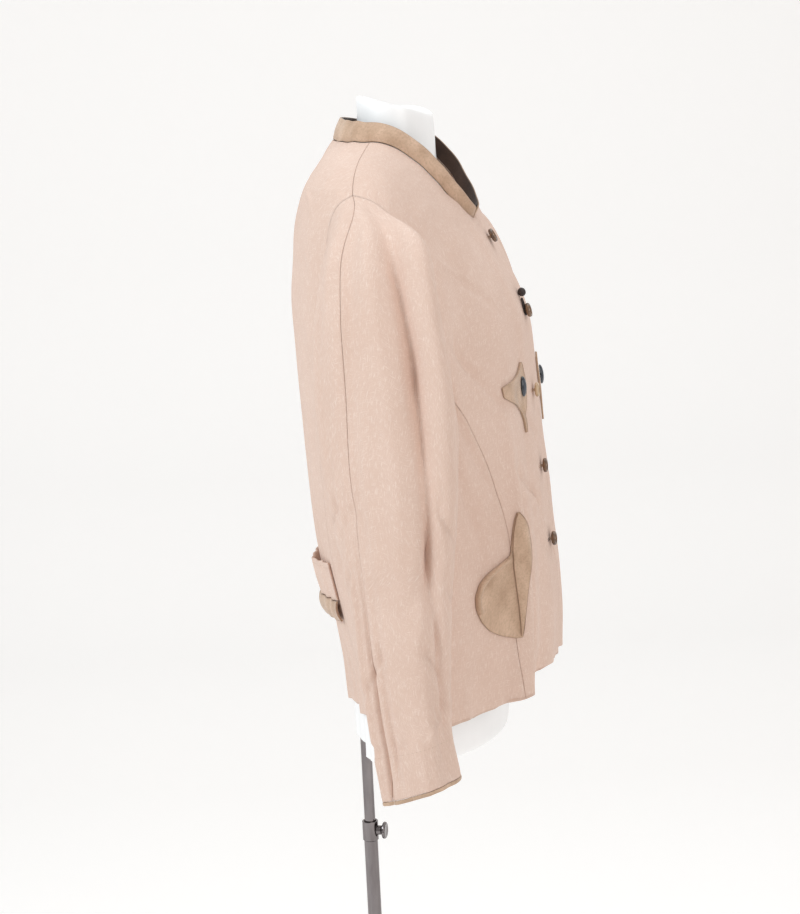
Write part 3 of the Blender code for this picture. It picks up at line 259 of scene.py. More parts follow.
def nap_group():
    """Suede: soft clouds where the nap is brushed one way or the other, and a fine fibre height."""
    group, given, out = new_group("suede_nap", (("Vector", "NodeSocketVector", None),),
                                  (("Height", "NodeSocketFloat"), ("Brushed", "NodeSocketFloat"),
                                   ("Mottle", "NodeSocketFloat")))
    vector = given.outputs["Vector"]
    group.links.new(noise(group, vector, 2600.0, 3.0, 0.6), out.inputs["Height"])
    group.links.new(remap(group, noise(group, scaled(group, vector, (1.0, 0.6, 1.0)), 46.0, 4.0, 0.55),
                          0.36, 0.66), out.inputs["Brushed"])
    group.links.new(noise(group, vector, 420.0, 4.0, 0.65), out.inputs["Mottle"])
    return group


def grain_group():
    """Fine grain for horn, leather and metal: streaks along one way and specks."""
    group, given, out = new_group(
        "fine_grain", (("Vector", "NodeSocketVector", None), ("Scale", "NodeSocketFloat", 300.0)),
        (("Streak", "NodeSocketFloat"), ("Speck", "NodeSocketFloat")))
    lengthened = group.nodes.new("ShaderNodeVectorMath")
    lengthened.operation = "SCALE"
    group.links.new(scaled(group, given.outputs["Vector"], (1.0, 1.0, 0.18)), lengthened.inputs[0])
    group.links.new(given.outputs["Scale"], lengthened.inputs["Scale"])
    group.links.new(noise(group, lengthened.outputs[0], 1.0, 4.0, 0.6), out.inputs["Streak"])
    group.links.new(noise(group, lengthened.outputs[0], 6.0, 3.0, 0.5), out.inputs["Speck"])
    return group


GROUPS = {"weave": weave_group(), "nap": nap_group(), "grain": grain_group()}
print("node groups", sorted(GROUPS))


# %% Helpers for a material
def start_material(name, group, coordinate, **constants):
    """A material with one group fed by a coordinate, and constants on the shader's own sockets."""
    material = bpy.data.materials.new(name)
    material.use_nodes = True
    tree = material.node_tree
    shader = tree.nodes["Principled BSDF"]
    for title, value in constants.items():
        shader.inputs[title.replace("_", " ")].default_value = value
    if coordinate == "UV":
        source = tree.nodes.new("ShaderNodeUVMap")
        source.uv_map = "cloth"
        vector = source.outputs["UV"]
    else:
        vector = tree.nodes.new("ShaderNodeTexCoord").outputs["Object"]
    effect = tree.nodes.new("ShaderNodeGroup")
    effect.node_tree = GROUPS[group]
    tree.links.new(vector, effect.inputs["Vector"])
    return material, tree, shader, effect, vector


def bump(tree, shader, height, strength, distance):
    """A Bump node from a height to the shader's normal."""
    node = tree.nodes.new("ShaderNodeBump")
    node.inputs["Strength"].default_value = strength
    node.inputs["Distance"].default_value = distance
    tree.links.new(height, node.inputs["Height"])
    tree.links.new(node.outputs["Normal"], shader.inputs["Normal"])


def attribute(tree, name):
    """The value of a mesh attribute."""
    node = tree.nodes.new("ShaderNodeAttribute")
    node.attribute_name = name
    return node.outputs["Fac"]


# %% Linen
def linen_material():
    """Pinkish beige linen: pale slubs, slightly darker ground, and shade gathered along the seams."""
    material, tree, shader, weave, vector = start_material(
        "linen", "weave", "UV", Roughness=0.92, Sheen_Weight=0.10, Sheen_Roughness=0.6,
        Specular_IOR_Level=0.2)
    ground = mixed(tree, remap(tree, weave.outputs["Cloud"], 0.3, 0.7), (0.700, 0.515, 0.425, 1),
                   (0.780, 0.600, 0.510, 1))
    threads = mixed(tree, remap(tree, weave.outputs["Height"], 0.15, 1.1), (0.640, 0.450, 0.360, 1), ground)
    slubbed = mixed(tree, maths(tree, "MULTIPLY", weave.outputs["Slub"], 0.40), threads,
                    (0.91, 0.80, 0.73, 1))
    dirt = remap(tree, noise(tree, vector, 160.0, 5.0, 0.7), 0.66, 0.80, 0.0, 0.25)
    flecked = mixed(tree, dirt, slubbed, (0.42, 0.29, 0.21, 1))
    shaded = mixed(tree, maths(tree, "MULTIPLY", attribute(tree, "seam"), 0.18), flecked,
                   (0.36, 0.235, 0.17, 1))
    tree.links.new(shaded, shader.inputs["Base Color"])
    crumple = maths(tree, "ADD", maths(tree, "MULTIPLY", noise(tree, vector, 30.0, 3.0, 0.55), 3.0),
                    maths(tree, "MULTIPLY", weave.outputs["Height"], 0.10))
    bump(tree, shader, crumple, 0.55, 0.0016)
    return material


# %% Suede and leather
def suede_material(name, dark, light, rough=0.97):
    """Suede: brushed clouds between a dark and a light tone, and painted shade along the cut edge, deepest on
    its rolled lip and lighter on the inner face.
    """
    material, tree, shader, nap, _ = start_material(
        name, "nap", "UV", Roughness=rough, Sheen_Weight=0.35, Sheen_Roughness=0.5, Specular_IOR_Level=0.15)
    brushed = mixed(tree, nap.outputs["Brushed"], dark, light)
    deep = tuple(0.62 * part for part in dark[:3]) + (1.0,)
    mottled = mixed(tree, remap(tree, nap.outputs["Mottle"], 0.45, 0.78, 0.0, 0.5), brushed, deep)
    # painted shade from the seam attribute: darkest on the rolled lip, lighter along the border and on the
    # inner face
    edged = mixed(tree, maths(tree, "MULTIPLY", attribute(tree, "seam"), 0.55), mottled, deep)
    tree.links.new(edged, shader.inputs["Base Color"])
    bump(tree, shader, nap.outputs["Height"], 0.5, 0.0005)
    return material


def grained_material(name, coordinate, dark, light, rough, scale, metallic=0.0, coat=0.0, depth=0.0002):
    """A hard finish: streaks between two tones, and roughness that wanders with them."""
    material, tree, shader, grain, _ = start_material(
        name, "grain", coordinate, Metallic=metallic, Coat_Weight=coat, Coat_Roughness=0.12)
    grain.inputs["Scale"].default_value = scale
    tree.links.new(mixed(tree, remap(tree, grain.outputs["Streak"], 0.35, 0.68), dark, light),
                   shader.inputs["Base Color"])
    tree.links.new(remap(tree, grain.outputs["Speck"], 0.3, 0.7, rough * 0.8, min(1.0, rough * 1.25)),
                   shader.inputs["Roughness"])
    bump(tree, shader, grain.outputs["Speck"], 0.25, depth)
    return material


FINISH = {
    "linen": linen_material(),
    "suede": suede_material("suede", (0.490, 0.330, 0.225, 1), (0.670, 0.475, 0.345, 1)),
    # the collar lining: its own brown darkened to near black, painted shade of the collar's inside
    "brown_leather": suede_material("brown_leather", (0.050, 0.024, 0.014, 1), (0.090, 0.046, 0.028, 1), 0.7),
    "cord": grained_material("dark_cord", "Object", (0.016, 0.010, 0.010, 1), (0.05, 0.03, 0.025, 1), 0.6,
                             900.0),
    "thread": grained_material("thread", "Object", (0.50, 0.36, 0.27, 1), (0.66, 0.50, 0.39, 1), 0.8, 900.0),
    "horn": grained_material("horn", "Object", (0.060, 0.026, 0.012, 1), (0.250, 0.130, 0.060, 1), 0.32,
                             260.0, coat=0.35),
    "horn_pale": grained_material("horn_pale", "Object", (0.42, 0.27, 0.15, 1), (0.66, 0.49, 0.32, 1), 0.34,
                                  260.0, coat=0.35),
    "dark_stud": grained_material("dark_stud", "Object", (0.012, 0.015, 0.022, 1), (0.060, 0.070, 0.090, 1),
                                  0.22, 420.0, coat=0.5),
    "form_white": grained_material("form_white", "Object", (0.92, 0.91, 0.905, 1), (0.95, 0.94, 0.935, 1),
                                   0.36, 30.0, coat=0.2, depth=0.0001),
    # the chrome's dark base colour is a painted reflection: it stands for dark surroundings mirrored in the
    # pole
    "chrome": grained_material("chrome", "Object", (0.17, 0.15, 0.15, 1), (0.27, 0.245, 0.245, 1), 0.10, 60.0,
                               metallic=1.0, depth=0.00003),
    "base_metal": grained_material("base_metal", "Object", (0.52, 0.52, 0.53, 1), (0.64, 0.64, 0.65, 1),
                                   0.34, 160.0,
                                   metallic=1.0, depth=0.00006),
}
print("materials", sorted(FINISH))

# %% [markdown]
# ## The cloth surfaces
# The bodice is one surface of rings, read by two numbers: turn goes round the wearer (0 centre back,
# 0.5 right side, 1 centre front, 1.5 left side) and level counts the rows of the table from the hem
# to the neck. A sleeve is a tube of rings that leaves the armhole curve. The tables are those of the
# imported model, so each panel lies on the solid it stands for.

# %% Sizes shared with the frame
CLOTH = 0.0020
SUEDE = 0.0015
FRONT_LAP = 0.024
FRONT_UNDERLAP = 0.020
LAP_LIFT = CLOTH + 0.0009
FRONT_CORNER = 1.1

BODICE_COLUMNS = ("back_z", "side_z", "front_z", "half_width", "back", "middle", "front", "square_back",
                  "square_front")
BODICE_ROWS = (
    (0.830, 0.848, 0.868, 0.222, -0.0125, 0.085, 0.216, -0.140, -0.045),   # 0 hem
    (0.878, 0.888, 0.902, 0.215, -0.0150, 0.085, 0.218, -0.110, -0.045),
    (0.940, 0.948, 0.955, 0.204, -0.0200, 0.085, 0.217, -0.050, -0.040),   # 2 half-belt
    (1.020, 1.022, 1.024, 0.195, -0.0280, 0.084, 0.211, 0.000, -0.035),    # 3 waist
    (1.100, 1.098, 1.096, 0.196, -0.0350, 0.083, 0.204, 0.000, -0.030),
    (1.180, 1.172, 1.168, 0.203, -0.0390, 0.083, 0.199, 0.000, -0.030),    # 5 underarm
    (1.250, 1.238, 1.232, 0.207, -0.0410, 0.083, 0.194, 0.000, -0.030),    # 6 bust
    (1.306, 1.290, 1.276, 0.204, -0.0380, 0.082, 0.178, 0.000, -0.020),
    (1.350, 1.335, 1.304, 0.194, -0.0310, 0.072, 0.163, 0.000, -0.010),
    (1.382, 1.370, 1.321, 0.172, -0.0200, 0.063, 0.153, 0.000, 0.000),     # 9 shoulder tip
    (1.405, 1.397, 1.330, 0.130, -0.0070, 0.058, 0.147, 0.000, 0.000),
    (1.424, 1.419, 1.336, 0.066, 0.0020, 0.055, 0.143, 0.000, 0.000),      # 11 neck seam
)
UNDERARM, SHOULDER, NECK = 5.0, 9.0, 11.0
HEM_DIP = 4.0             # keeps the front hem low until it nears the centre

FOLD_COLUMNS = ("turn_low", "level_low", "turn_high", "level_high", "width", "out_low", "out_high")
BODICE_FOLDS = (
    (0.822, 0.0, 0.865, 4.8, 0.034, 0.015, 0.004),     # ridge under the right pocket
    (0.915, 0.0, 0.940, 3.4, 0.030, -0.010, -0.003),   # hollow between it and the front edge
    (0.735, 0.0, 0.730, 3.2, 0.040, -0.005, -0.003),
    (0.640, 0.0, 0.600, 2.4, 0.045, 0.007, 0.002),
    (0.520, 0.0, 0.520, 2.2, 0.030, -0.005, -0.001),
    (0.380, 0.0, 0.330, 2.4, 0.045, 0.006, 0.001),     # flare of the right back
    (1.165, 0.0, 1.110, 4.4, 0.036, 0.012, 0.003),     # the left side, a little flatter
    (1.085, 0.0, 1.050, 2.8, 0.030, -0.006, -0.001),
    (1.255, 0.0, 1.250, 2.8, 0.042, -0.005, -0.002),
    (1.370, 0.0, 1.400, 2.2, 0.045, 0.006, 0.001),
    (1.640, 0.0, 1.680, 2.6, 0.045, 0.007, 0.001),
    (0.615, 5.4, 0.590, 8.8, 0.075, 0.017, 0.004),     # cloth running on into each sleeve
    (1.395, 5.4, 1.410, 8.8, 0.070, 0.006, 0.003),
    (0.760, 5.6, 0.800, 9.6, 0.035, -0.004, -0.002),   # hollows between the sleeve and the chest
    (1.240, 5.6, 1.200, 9.4, 0.035, -0.005, -0.002),
    (1.000, 0.0, 1.000, 6.0, 0.050, -0.006, -0.001),   # the buttoned front, between two fuller edges
    (1.075, 0.0, 1.070, 6.0, 0.036, 0.004, 0.001),
    (0.340, 4.2, 0.330, 7.4, 0.045, 0.006, 0.002),     # fullness behind each armhole
    (1.660, 4.2, 1.670, 7.4, 0.045, 0.006, 0.002),
)
# the right side panel's seams, a turn for each level of the bodice up to the underarm
SIDE_FRONT_SEAM = ((0.815,), (0.810,), (0.805,), (0.812,), (0.783,), (0.722,))
SIDE_BACK_SEAM = ((0.290,), (0.285,), (0.285,), (0.295,), (0.310,), (0.330,))
ARMHOLE = (0.140, 0.110)      # how far it reaches to the front and to the back of the side
ARMHOLE_LEAD = 1.22           # the same curve, enlarged, from which the sleeve takes its direction
SLEEVE_COLUMNS = ("outer", "outer_z", "inner", "inner_z", "front", "back", "front_rise")
SLEEVE_ROWS = (
    (0.0, 0.0, 0.0, 0.0, 0.0, 0.0, 0.0),                          # 0 takes the armhole's own shape
    (0.211, 1.347, 0.212, 1.177, 0.150, 0.030, 0.0),
    (0.241, 1.310, 0.221, 1.170, 0.160, 0.032, 0.0),
    (0.263, 1.258, 0.226, 1.154, 0.168, 0.034, 0.0),
    (0.278, 1.192, 0.225, 1.126, 0.173, 0.037, 0.0),
    (0.288, 1.122, 0.222, 1.086, 0.172, 0.044, 0.0),
    (0.294, 1.052, 0.221, 1.034, 0.167, 0.055, 0.002),            # 6 elbow
    (0.298, 0.985, 0.225, 0.974, 0.161, 0.066, 0.004),
    (0.302, 0.920, 0.231, 0.911, 0.157, 0.076, 0.006),
    (0.305, 0.862, 0.237, 0.858, 0.157, 0.087, 0.008),
    (0.308, 0.816, 0.241, 0.812, 0.164, 0.093, 0.011),            # 10 cuff edge
)
SLEEVE_SQUARE = 0.035
LEFT_ARM_BACK = 0.022         # the left arm, out of the photograph's sight, hangs this much further back
CUFF = 10.0
SLEEVE_FOLDS = (
    (0.165, 9.2, 0.030, 0.8, 0.034, -0.003, -0.009),   # long fold from the shoulder to the wrist
    (0.240, 8.4, 0.120, 1.4, 0.045, 0.003, 0.006),     # roll in front of it
    (0.880, 6.5, 0.840, 1.4, 0.036, -0.004, -0.006),   # hollow behind the arm
    (0.640, 5.4, 0.740, 1.8, 0.045, -0.005, -0.007),   # slack under the arm
    (0.330, 5.4, 0.320, 1.6, 0.040, -0.004, -0.006),
    (0.770, 6.3, 0.900, 5.6, 0.040, -0.003, -0.004),   # elbow creases
    (0.060, 6.9, 0.130, 6.2, 0.040, -0.003, -0.003),
)
# the overarm seam, a turn for each row of the sleeve
OVERARM = ((0.0,), (-0.05,), (-0.07,), (-0.07,), (-0.068,), (-0.075,), (-0.080,), (-0.088,), (-0.097,),
           (-0.10,), (-0.107,))

# %% Reading the tables
def smooth_step(low, high, value):
    """0 below low, 1 above high, and an S-curve between them."""
    t = np.clip((np.asarray(value, float) - low) / (high - low), 0.0, 1.0)
    return t * t * (3.0 - 2.0 * t)


def spline(rows, position):
    """Read a table at a fractional row: a Catmull-Rom curve through every column."""
    rows = np.asarray(rows, float)
    position = np.clip(np.asarray(position, float), 0.0, len(rows) - 1.0)
    start = np.minimum(position.astype(int), len(rows) - 2)
    t = (position - start)[..., None]
    before = rows[np.maximum(start - 1, 0)]
    here, after = rows[start], rows[start + 1]
    beyond = rows[np.minimum(start + 2, len(rows) - 1)]
    return 0.5 * (2 * here + (after - before) * t
                  + (2 * before - 5 * here + 4 * after - beyond) * t ** 2
                  + (3 * here - before - 3 * after + beyond) * t ** 3)


def read(columns, rows, position):
    """The columns of a table at a fractional row, by name."""
    values = spline(rows, position)
    return {name: values[..., i] for i, name in enumerate(columns)}


def fold_height(folds, turn, level, period):
    """Sum of the soft ridges and troughs at a place on a surface."""
    total = np.zeros(np.broadcast(turn, level).shape)
    for row in folds:
        fold = dict(zip(FOLD_COLUMNS, row))
        low, high = fold["level_low"], fold["level_high"]
        along = np.clip((level - low) / (high - low), 0.0, 1.0)
        centre = fold["turn_low"] + along * (fold["turn_high"] - fold["turn_low"])
        height = fold["out_low"] + along * (fold["out_high"] - fold["out_low"])
        span = abs(high - low)
        past = np.maximum(np.maximum(min(low, high) - level, level - max(low, high)), 0.0)
        away = (turn - centre + period / 2) % period - period / 2
        total = total + height * np.exp(-(away / fold["width"]) ** 2 - (past / (0.3 * span)) ** 2)
    return total


def unit(vectors):
    """Vectors scaled to length 1."""
    return vectors / np.maximum(np.linalg.norm(vectors, axis=-1, keepdims=True), 1e-12)

# %% [markdown]
# The large folds are in the table above. The finer creases are listed here: drag lines under
# the arm and towards the buttons, ripples at the hem, breaks at the elbow and wrist. A slow, seeded
# wobble keeps the cloth between them from looking pressed.

# %% Finer creases
BODICE_CREASES = (
    (0.862, 0.6, 0.872, 3.3, 0.017, -0.0130, -0.0052),   # the fall beyond the ridge of the right pocket
    (0.838, 0.0, 0.846, 3.4, 0.012, 0.0039, 0.0026),
    (0.700, 4.9, 0.790, 3.6, 0.012, -0.0055, -0.0016),   # drag lines from the right armhole
    (0.680, 4.4, 0.745, 3.0, 0.011, -0.0047, -0.0013),
    (0.730, 5.6, 0.860, 4.6, 0.013, -0.0039, -0.0010),
    (0.800, 6.9, 0.905, 6.0, 0.016, -0.0023, -0.0005),
    (0.700, 7.6, 0.820, 7.0, 0.018, 0.0026, 0.0005),
    (0.860, 3.8, 0.960, 3.3, 0.012, -0.0023, -0.0039),   # towards the lower buttons
    (0.905, 2.9, 0.975, 2.5, 0.011, -0.0010, -0.0023),
    (0.890, 4.8, 0.985, 4.2, 0.012, -0.0013, -0.0023),
    (0.870, 0.0, 0.885, 2.1, 0.012, -0.0055, -0.0008),   # ripples at the front hem
    (0.790, 0.0, 0.800, 1.3, 0.011, -0.0034, -0.0005),
    (0.965, 0.0, 0.972, 2.4, 0.014, 0.0010, 0.0006),
    (0.700, 0.0, 0.690, 1.6, 0.014, 0.0034, 0.0005),
    (0.590, 0.0, 0.600, 1.8, 0.014, -0.0039, -0.0005),
    (0.450, 0.0, 0.455, 2.0, 0.014, -0.0034, -0.0005),
    (0.330, 0.0, 0.325, 1.6, 0.014, -0.0039, -0.0005),   # back, below the half-belt
    (0.250, 0.0, 0.240, 1.9, 0.012, 0.0036, 0.0016),
    (0.180, 0.0, 0.170, 1.9, 0.012, -0.0039, -0.0016),
    (0.105, 0.0, 0.100, 1.8, 0.011, 0.0031, 0.0013),
    (0.045, 0.0, 0.040, 1.8, 0.011, -0.0029, -0.0010),
    (0.215, 2.5, 0.200, 4.4, 0.012, -0.0031, -0.0004),   # and above it
    (0.140, 2.5, 0.135, 4.0, 0.012, 0.0026, 0.0004),
    (0.070, 2.5, 0.070, 4.2, 0.012, -0.0026, -0.0004),
    (0.330, 5.2, 0.180, 6.4, 0.016, -0.0026, -0.0005),   # across the right shoulder blade
    (0.360, 6.6, 0.230, 7.6, 0.016, -0.0023, -0.0005),
    (0.310, 8.6, 0.160, 9.4, 0.020, 0.0021, 0.0005),
    (1.300, 4.9, 1.215, 3.5, 0.012, -0.0052, -0.0013),   # the left half
    (1.325, 4.6, 1.255, 3.1, 0.011, -0.0021, -0.0004),
    (1.265, 5.7, 1.140, 4.7, 0.013, -0.0023, -0.0005),
    (1.200, 6.8, 1.100, 6.1, 0.016, -0.0021, -0.0005),
    (1.300, 7.6, 1.180, 7.0, 0.018, 0.0026, 0.0005),
    (1.140, 3.7, 1.050, 3.3, 0.012, -0.0016, -0.0023),
    (1.100, 2.9, 1.035, 2.4, 0.011, -0.0010, -0.0023),
    (1.120, 0.0, 1.112, 2.2, 0.012, -0.0049, -0.0008),
    (1.200, 0.0, 1.195, 1.4, 0.011, 0.0034, 0.0005),
    (1.310, 0.0, 1.305, 1.7, 0.014, -0.0036, -0.0005),
    (1.430, 0.0, 1.425, 1.9, 0.014, 0.0034, 0.0005),
    (1.560, 0.0, 1.550, 1.9, 0.014, -0.0039, -0.0005),
    (1.690, 0.0, 1.700, 1.7, 0.013, 0.0034, 0.0013),
    (1.750, 0.0, 1.760, 1.9, 0.012, -0.0039, -0.0016),
    (1.830, 0.0, 1.835, 1.8, 0.012, 0.0034, 0.0013),
    (1.905, 0.0, 1.905, 1.9, 0.011, -0.0034, -0.0013),
    (1.960, 0.0, 1.962, 1.7, 0.010, 0.0023, 0.0008),
    (1.790, 2.5, 1.800, 4.3, 0.012, -0.0031, -0.0004),
    (1.870, 2.5, 1.870, 4.1, 0.012, 0.0026, 0.0004),
    (1.935, 2.5, 1.935, 3.9, 0.011, -0.0021, -0.0004),
    (1.665, 5.3, 1.810, 6.3, 0.016, -0.0026, -0.0005),
    (1.640, 6.6, 1.770, 7.5, 0.016, -0.0023, -0.0005),
    (1.690, 8.5, 1.840, 9.3, 0.020, 0.0021, 0.0005),
)
SLEEVE_CREASES = (
    (0.070, 3.4, 0.028, 0.9, 0.013, -0.0075, -0.0075),   # the long dark fold, stretch by stretch
    (0.112, 6.1, 0.078, 3.9, 0.014, -0.0051, -0.0069),
    (0.205, 8.3, 0.118, 6.2, 0.017, -0.0078, -0.0060),
    (0.150, 7.0, 0.100, 5.2, 0.013, 0.0036, 0.0024),     # and the ridge in front of it
    (0.028, 5.2, -0.010, 1.8, 0.022, 0.0030, 0.0033),
    (0.900, 9.2, 0.915, 5.8, 0.013, -0.0066, -0.0027),   # behind the lower sleeve
    (0.850, 9.0, 0.870, 5.4, 0.014, 0.0060, 0.0021),
    (0.955, 8.9, 0.950, 6.4, 0.012, -0.0039, -0.0015),
    (0.940, 5.6, 0.955, 3.0, 0.012, -0.0030, -0.0018),
    (0.045, 2.0, 0.110, 5.2, 0.016, -0.0033, -0.0015),   # beside the long fold
    (0.190, 1.0, 0.235, 4.4, 0.018, -0.0045, -0.0015),
    (0.250, 0.6, 0.330, 2.6, 0.022, 0.0039, 0.0012),
    (0.960, 1.2, 0.930, 4.8, 0.018, -0.0033, -0.0012),
    (0.900, 1.6, 0.860, 3.4, 0.020, 0.0036, 0.0009),
    (0.780, 1.4, 0.740, 3.8, 0.020, -0.0045, -0.0015),
    (0.430, 1.2, 0.380, 3.6, 0.022, -0.0045, -0.0012),
    (0.150, 5.6, 0.300, 6.4, 0.018, -0.0042, -0.0018),   # breaks at the elbow
    (0.840, 5.5, 0.700, 6.0, 0.018, -0.0048, -0.0021),
    (0.860, 6.4, 0.730, 7.0, 0.018, -0.0039, -0.0015),
    (0.200, 6.7, 0.360, 7.3, 0.018, -0.0033, -0.0015),
    (0.100, 7.6, 0.260, 8.2, 0.018, -0.0036, -0.0012),
    (0.950, 7.6, 0.820, 8.3, 0.018, -0.0033, -0.0012),
    (0.110, 8.9, 0.240, 8.5, 0.017, 0.0033, 0.0015),     # slack above the cuff
    (0.990, 9.0, 0.060, 8.7, 0.016, -0.0024, -0.0012),
    (0.860, 9.0, 0.760, 8.6, 0.018, -0.0030, -0.0015),
    (0.060, 9.95, 0.055, 8.9, 0.018, 0.0024, 0.0006),
)


def wobble(u, v, scale, seed):
    """Slow unevenness between -1 and 1: a few sine waves that cross at odd angles."""
    waves = np.random.default_rng(seed).uniform(0.0, 2 * math.pi, 8)
    total = 0.0
    for k in range(8):
        angle = k * 2.399 + seed
        total = total + np.sin(
            (u * math.cos(angle) + v * math.sin(angle)) * scale * (0.6 + 0.17 * k) + waves[k])
    return total / 4.0


# %% The bodice surface
def bodice_base(turn, level):
    """A point of the bodice without its folds."""
    row = read(BODICE_COLUMNS, BODICE_ROWS, level)
    angle = math.pi * np.asarray(turn, float)
    square = np.where(np.cos(angle) > 0, row["square_back"], row["square_front"])
    side = (np.sin(angle) + square * np.sin(3 * angle)) / (1 - square)
    ahead = -(np.cos(angle) - square * np.cos(3 * angle)) / (1 - square)
    reach = np.where(ahead < 0, row["middle"] - row["back"], row["front"] - row["middle"])
    end_z = np.where(ahead < 0, row["back_z"], row["front_z"])
    lead = np.where(ahead < 0, 2.0, 2.0 + HEM_DIP * smooth_step(4.0, 0.0, level))
    z = row["side_z"] + (end_z - row["side_z"]) * np.abs(np.cos(angle)) ** lead
    return np.stack([-row["half_width"] * side, -(row["middle"] + reach * ahead), z], axis=-1)


def surface_normal(surface, turn, level, turn_step=0.002, level_step=0.01):
    """Outward normal of a surface that is read by turn and level."""
    across = surface(turn + turn_step, level) - surface(turn - turn_step, level)
    up = surface(turn, level + level_step) - surface(turn, level - level_step)
    return unit(np.cross(across, up))

def bodice(turn, level):
    """A point on the outside of the bodice, with every fold and crease."""
    turn, level = np.broadcast_arrays(np.asarray(turn, float), np.asarray(level, float))
    flat = bodice_base(turn, level)
    out = surface_normal(bodice_base, turn, level)
    height = fold_height(BODICE_FOLDS, turn, level, 2.0) + fold_height(BODICE_CREASES, turn, level, 2.0)
    round_way = np.stack([np.sin(math.pi * turn), np.cos(math.pi * turn)])
    height = height + 0.0007 * wobble(round_way[0] * 0.25 + level * 0.02,
                                      round_way[1] * 0.25 + level * 0.05, 55.0, 3)
    return flat + out * height[..., None]


def level_at(turn, z):
    """The level at which the bodice has a given height."""
    turn, z = np.broadcast_arrays(np.asarray(turn, float), np.asarray(z, float))
    low, high = np.zeros(turn.shape), np.full(turn.shape, NECK)
    for _ in range(30):
        middle = (low + high) / 2
        below = bodice_base(turn, middle)[..., 2] < z
        low, high = np.where(below, middle, low), np.where(below, high, middle)
    return (low + high) / 2


def turn_at(level, across):
    """The turn past the centre front at which a ring is so far to the left."""
    low, high = np.full(np.shape(level), 1.0), np.full(np.shape(level), 1.25)
    for _ in range(30):
        middle = (low + high) / 2
        short = bodice_base(middle, level)[..., 0] < across
        low, high = np.where(short, middle, low), np.where(short, high, middle)
    return (low + high) / 2

# %% The armhole and the sleeves
ARMHOLE_STEPS = 192
MEETING = 64             # step of the armhole at which the side panel's seams reach it


def armhole_place(step):
    """Turn and level of a step round the right armhole, from the shoulder tip to the front."""
    angle = 2 * math.pi * np.asarray(step, float) / ARMHOLE_STEPS
    reach = np.where(np.sin(angle) > 0, ARMHOLE[0], ARMHOLE[1])
    middle, half = (UNDERARM + SHOULDER) / 2, (SHOULDER - UNDERARM) / 2
    return 0.5 + reach * np.sin(angle), middle + half * np.cos(angle)

MEETING_LEVEL = float(armhole_place(MEETING)[1])


def side_front_turn(level):
    """The seam between the right front and its side panel."""
    curve = spline(SIDE_FRONT_SEAM, np.minimum(level, UNDERARM))[..., 0]
    return curve + (armhole_place(MEETING)[0] - curve) * smooth_step(4.6, MEETING_LEVEL, level)


def side_back_turn(level):
    """The seam between the right back and its side panel."""
    curve = spline(SIDE_BACK_SEAM, np.minimum(level, UNDERARM))[..., 0]
    return curve + (armhole_place(ARMHOLE_STEPS - MEETING)[0] - curve) * smooth_step(4.6, MEETING_LEVEL,
        level)


def panel_edge(levels, seam, front):
    """A panel's border: its side seam, then the armhole, then the shoulder seam."""
    middle, half = (UNDERARM + SHOULDER) / 2, (SHOULDER - UNDERARM) / 2
    swing = np.sqrt(np.clip(1 - ((levels - middle) / half) ** 2, 0.0, 1.0))
    mouth = 0.5 + ARMHOLE[0] * swing if front else 0.5 - ARMHOLE[1] * swing
    return np.where(levels < MEETING_LEVEL - 1e-6, seam(levels), np.where(levels < SHOULDER, mouth, 0.5))


def mirrored(turns, side):
    """Turns of the right half, or the same places on the left half."""
    return turns if side < 0 else 2.0 - turns

def sleeve_base(side, turn, row):
    """A point of a sleeve without its folds; side is -1 on the wearer's right and 1 on the left."""
    turn, row = np.broadcast_arrays(np.asarray(turn, float), np.asarray(row, float))
    angle = 2 * math.pi * turn
    rings = []
    middle, half = (UNDERARM + SHOULDER) / 2, (SHOULDER - UNDERARM) / 2
    reach = np.where(np.sin(angle) > 0, ARMHOLE[0], ARMHOLE[1])
    for scale in (ARMHOLE_LEAD, 1.0):
        around = mirrored(0.5 + scale * reach * np.sin(angle), side)
        ring = bodice(around, middle + scale * half * np.cos(angle))
        rings.append(ring * np.array([1.0 if side < 0 else -1.0, 1.0, 1.0]))
    for values in SLEEVE_ROWS[1:]:
        ring = dict(zip(SLEEVE_COLUMNS, values))
        square = SLEEVE_SQUARE
        outward = ((np.cos(angle) - square * np.cos(3 * angle)) / (1 - square))[..., None]
        ahead = ((np.sin(angle) + square * np.sin(3 * angle)) / (1 - square))[..., None]
        outer = np.array([-ring["outer"], 0.0, ring["outer_z"]])
        inner = np.array([-ring["inner"], 0.0, ring["inner_z"]])
        centre = (outer + inner) / 2 - np.array([0.0, (ring["front"] + ring["back"]) / 2, 0.0])
        forward = np.array([0.0, -(ring["front"] - ring["back"]) / 2, ring["front_rise"]])
        if side > 0:
            centre = centre + np.array([0.0, LEFT_ARM_BACK, 0.0])
        rings.append(centre + (outer - inner) / 2 * outward + forward * ahead)
    rings = np.stack(rings)
    start = np.minimum(np.clip(row, 0, CUFF).astype(int), len(rings) - 3)
    t = (np.clip(row, 0, CUFF) - start)[..., None]

    def ring_at(index):
        """The ring of an index, or the end one past either end."""
        index = np.clip(index + 1, 0, len(rings) - 1)
        return np.take_along_axis(rings, index[None, ..., None], axis=0)[0]

    before, here, after, beyond = (ring_at(start + k) for k in (-1, 0, 1, 2))
    point = 0.5 * (2 * here + (after - before) * t
                   + (2 * before - 5 * here + 4 * after - beyond) * t ** 2
                   + (3 * here - before - 3 * after + beyond) * t ** 3)
    return point * np.array([1.0 if side < 0 else -1.0, 1.0, 1.0])


def sleeve_normal(surface, side, turn, row):
    """Outward normal of a sleeve surface."""
    around = surface(side, turn + 0.004, row) - surface(side, turn - 0.004, row)
    along = surface(side, turn, np.minimum(row + 0.04, CUFF)) \
        - surface(side, turn, np.maximum(row - 0.04, 0.0))
    return unit(np.cross(along, around)) * (1.0 if side < 0 else -1.0)

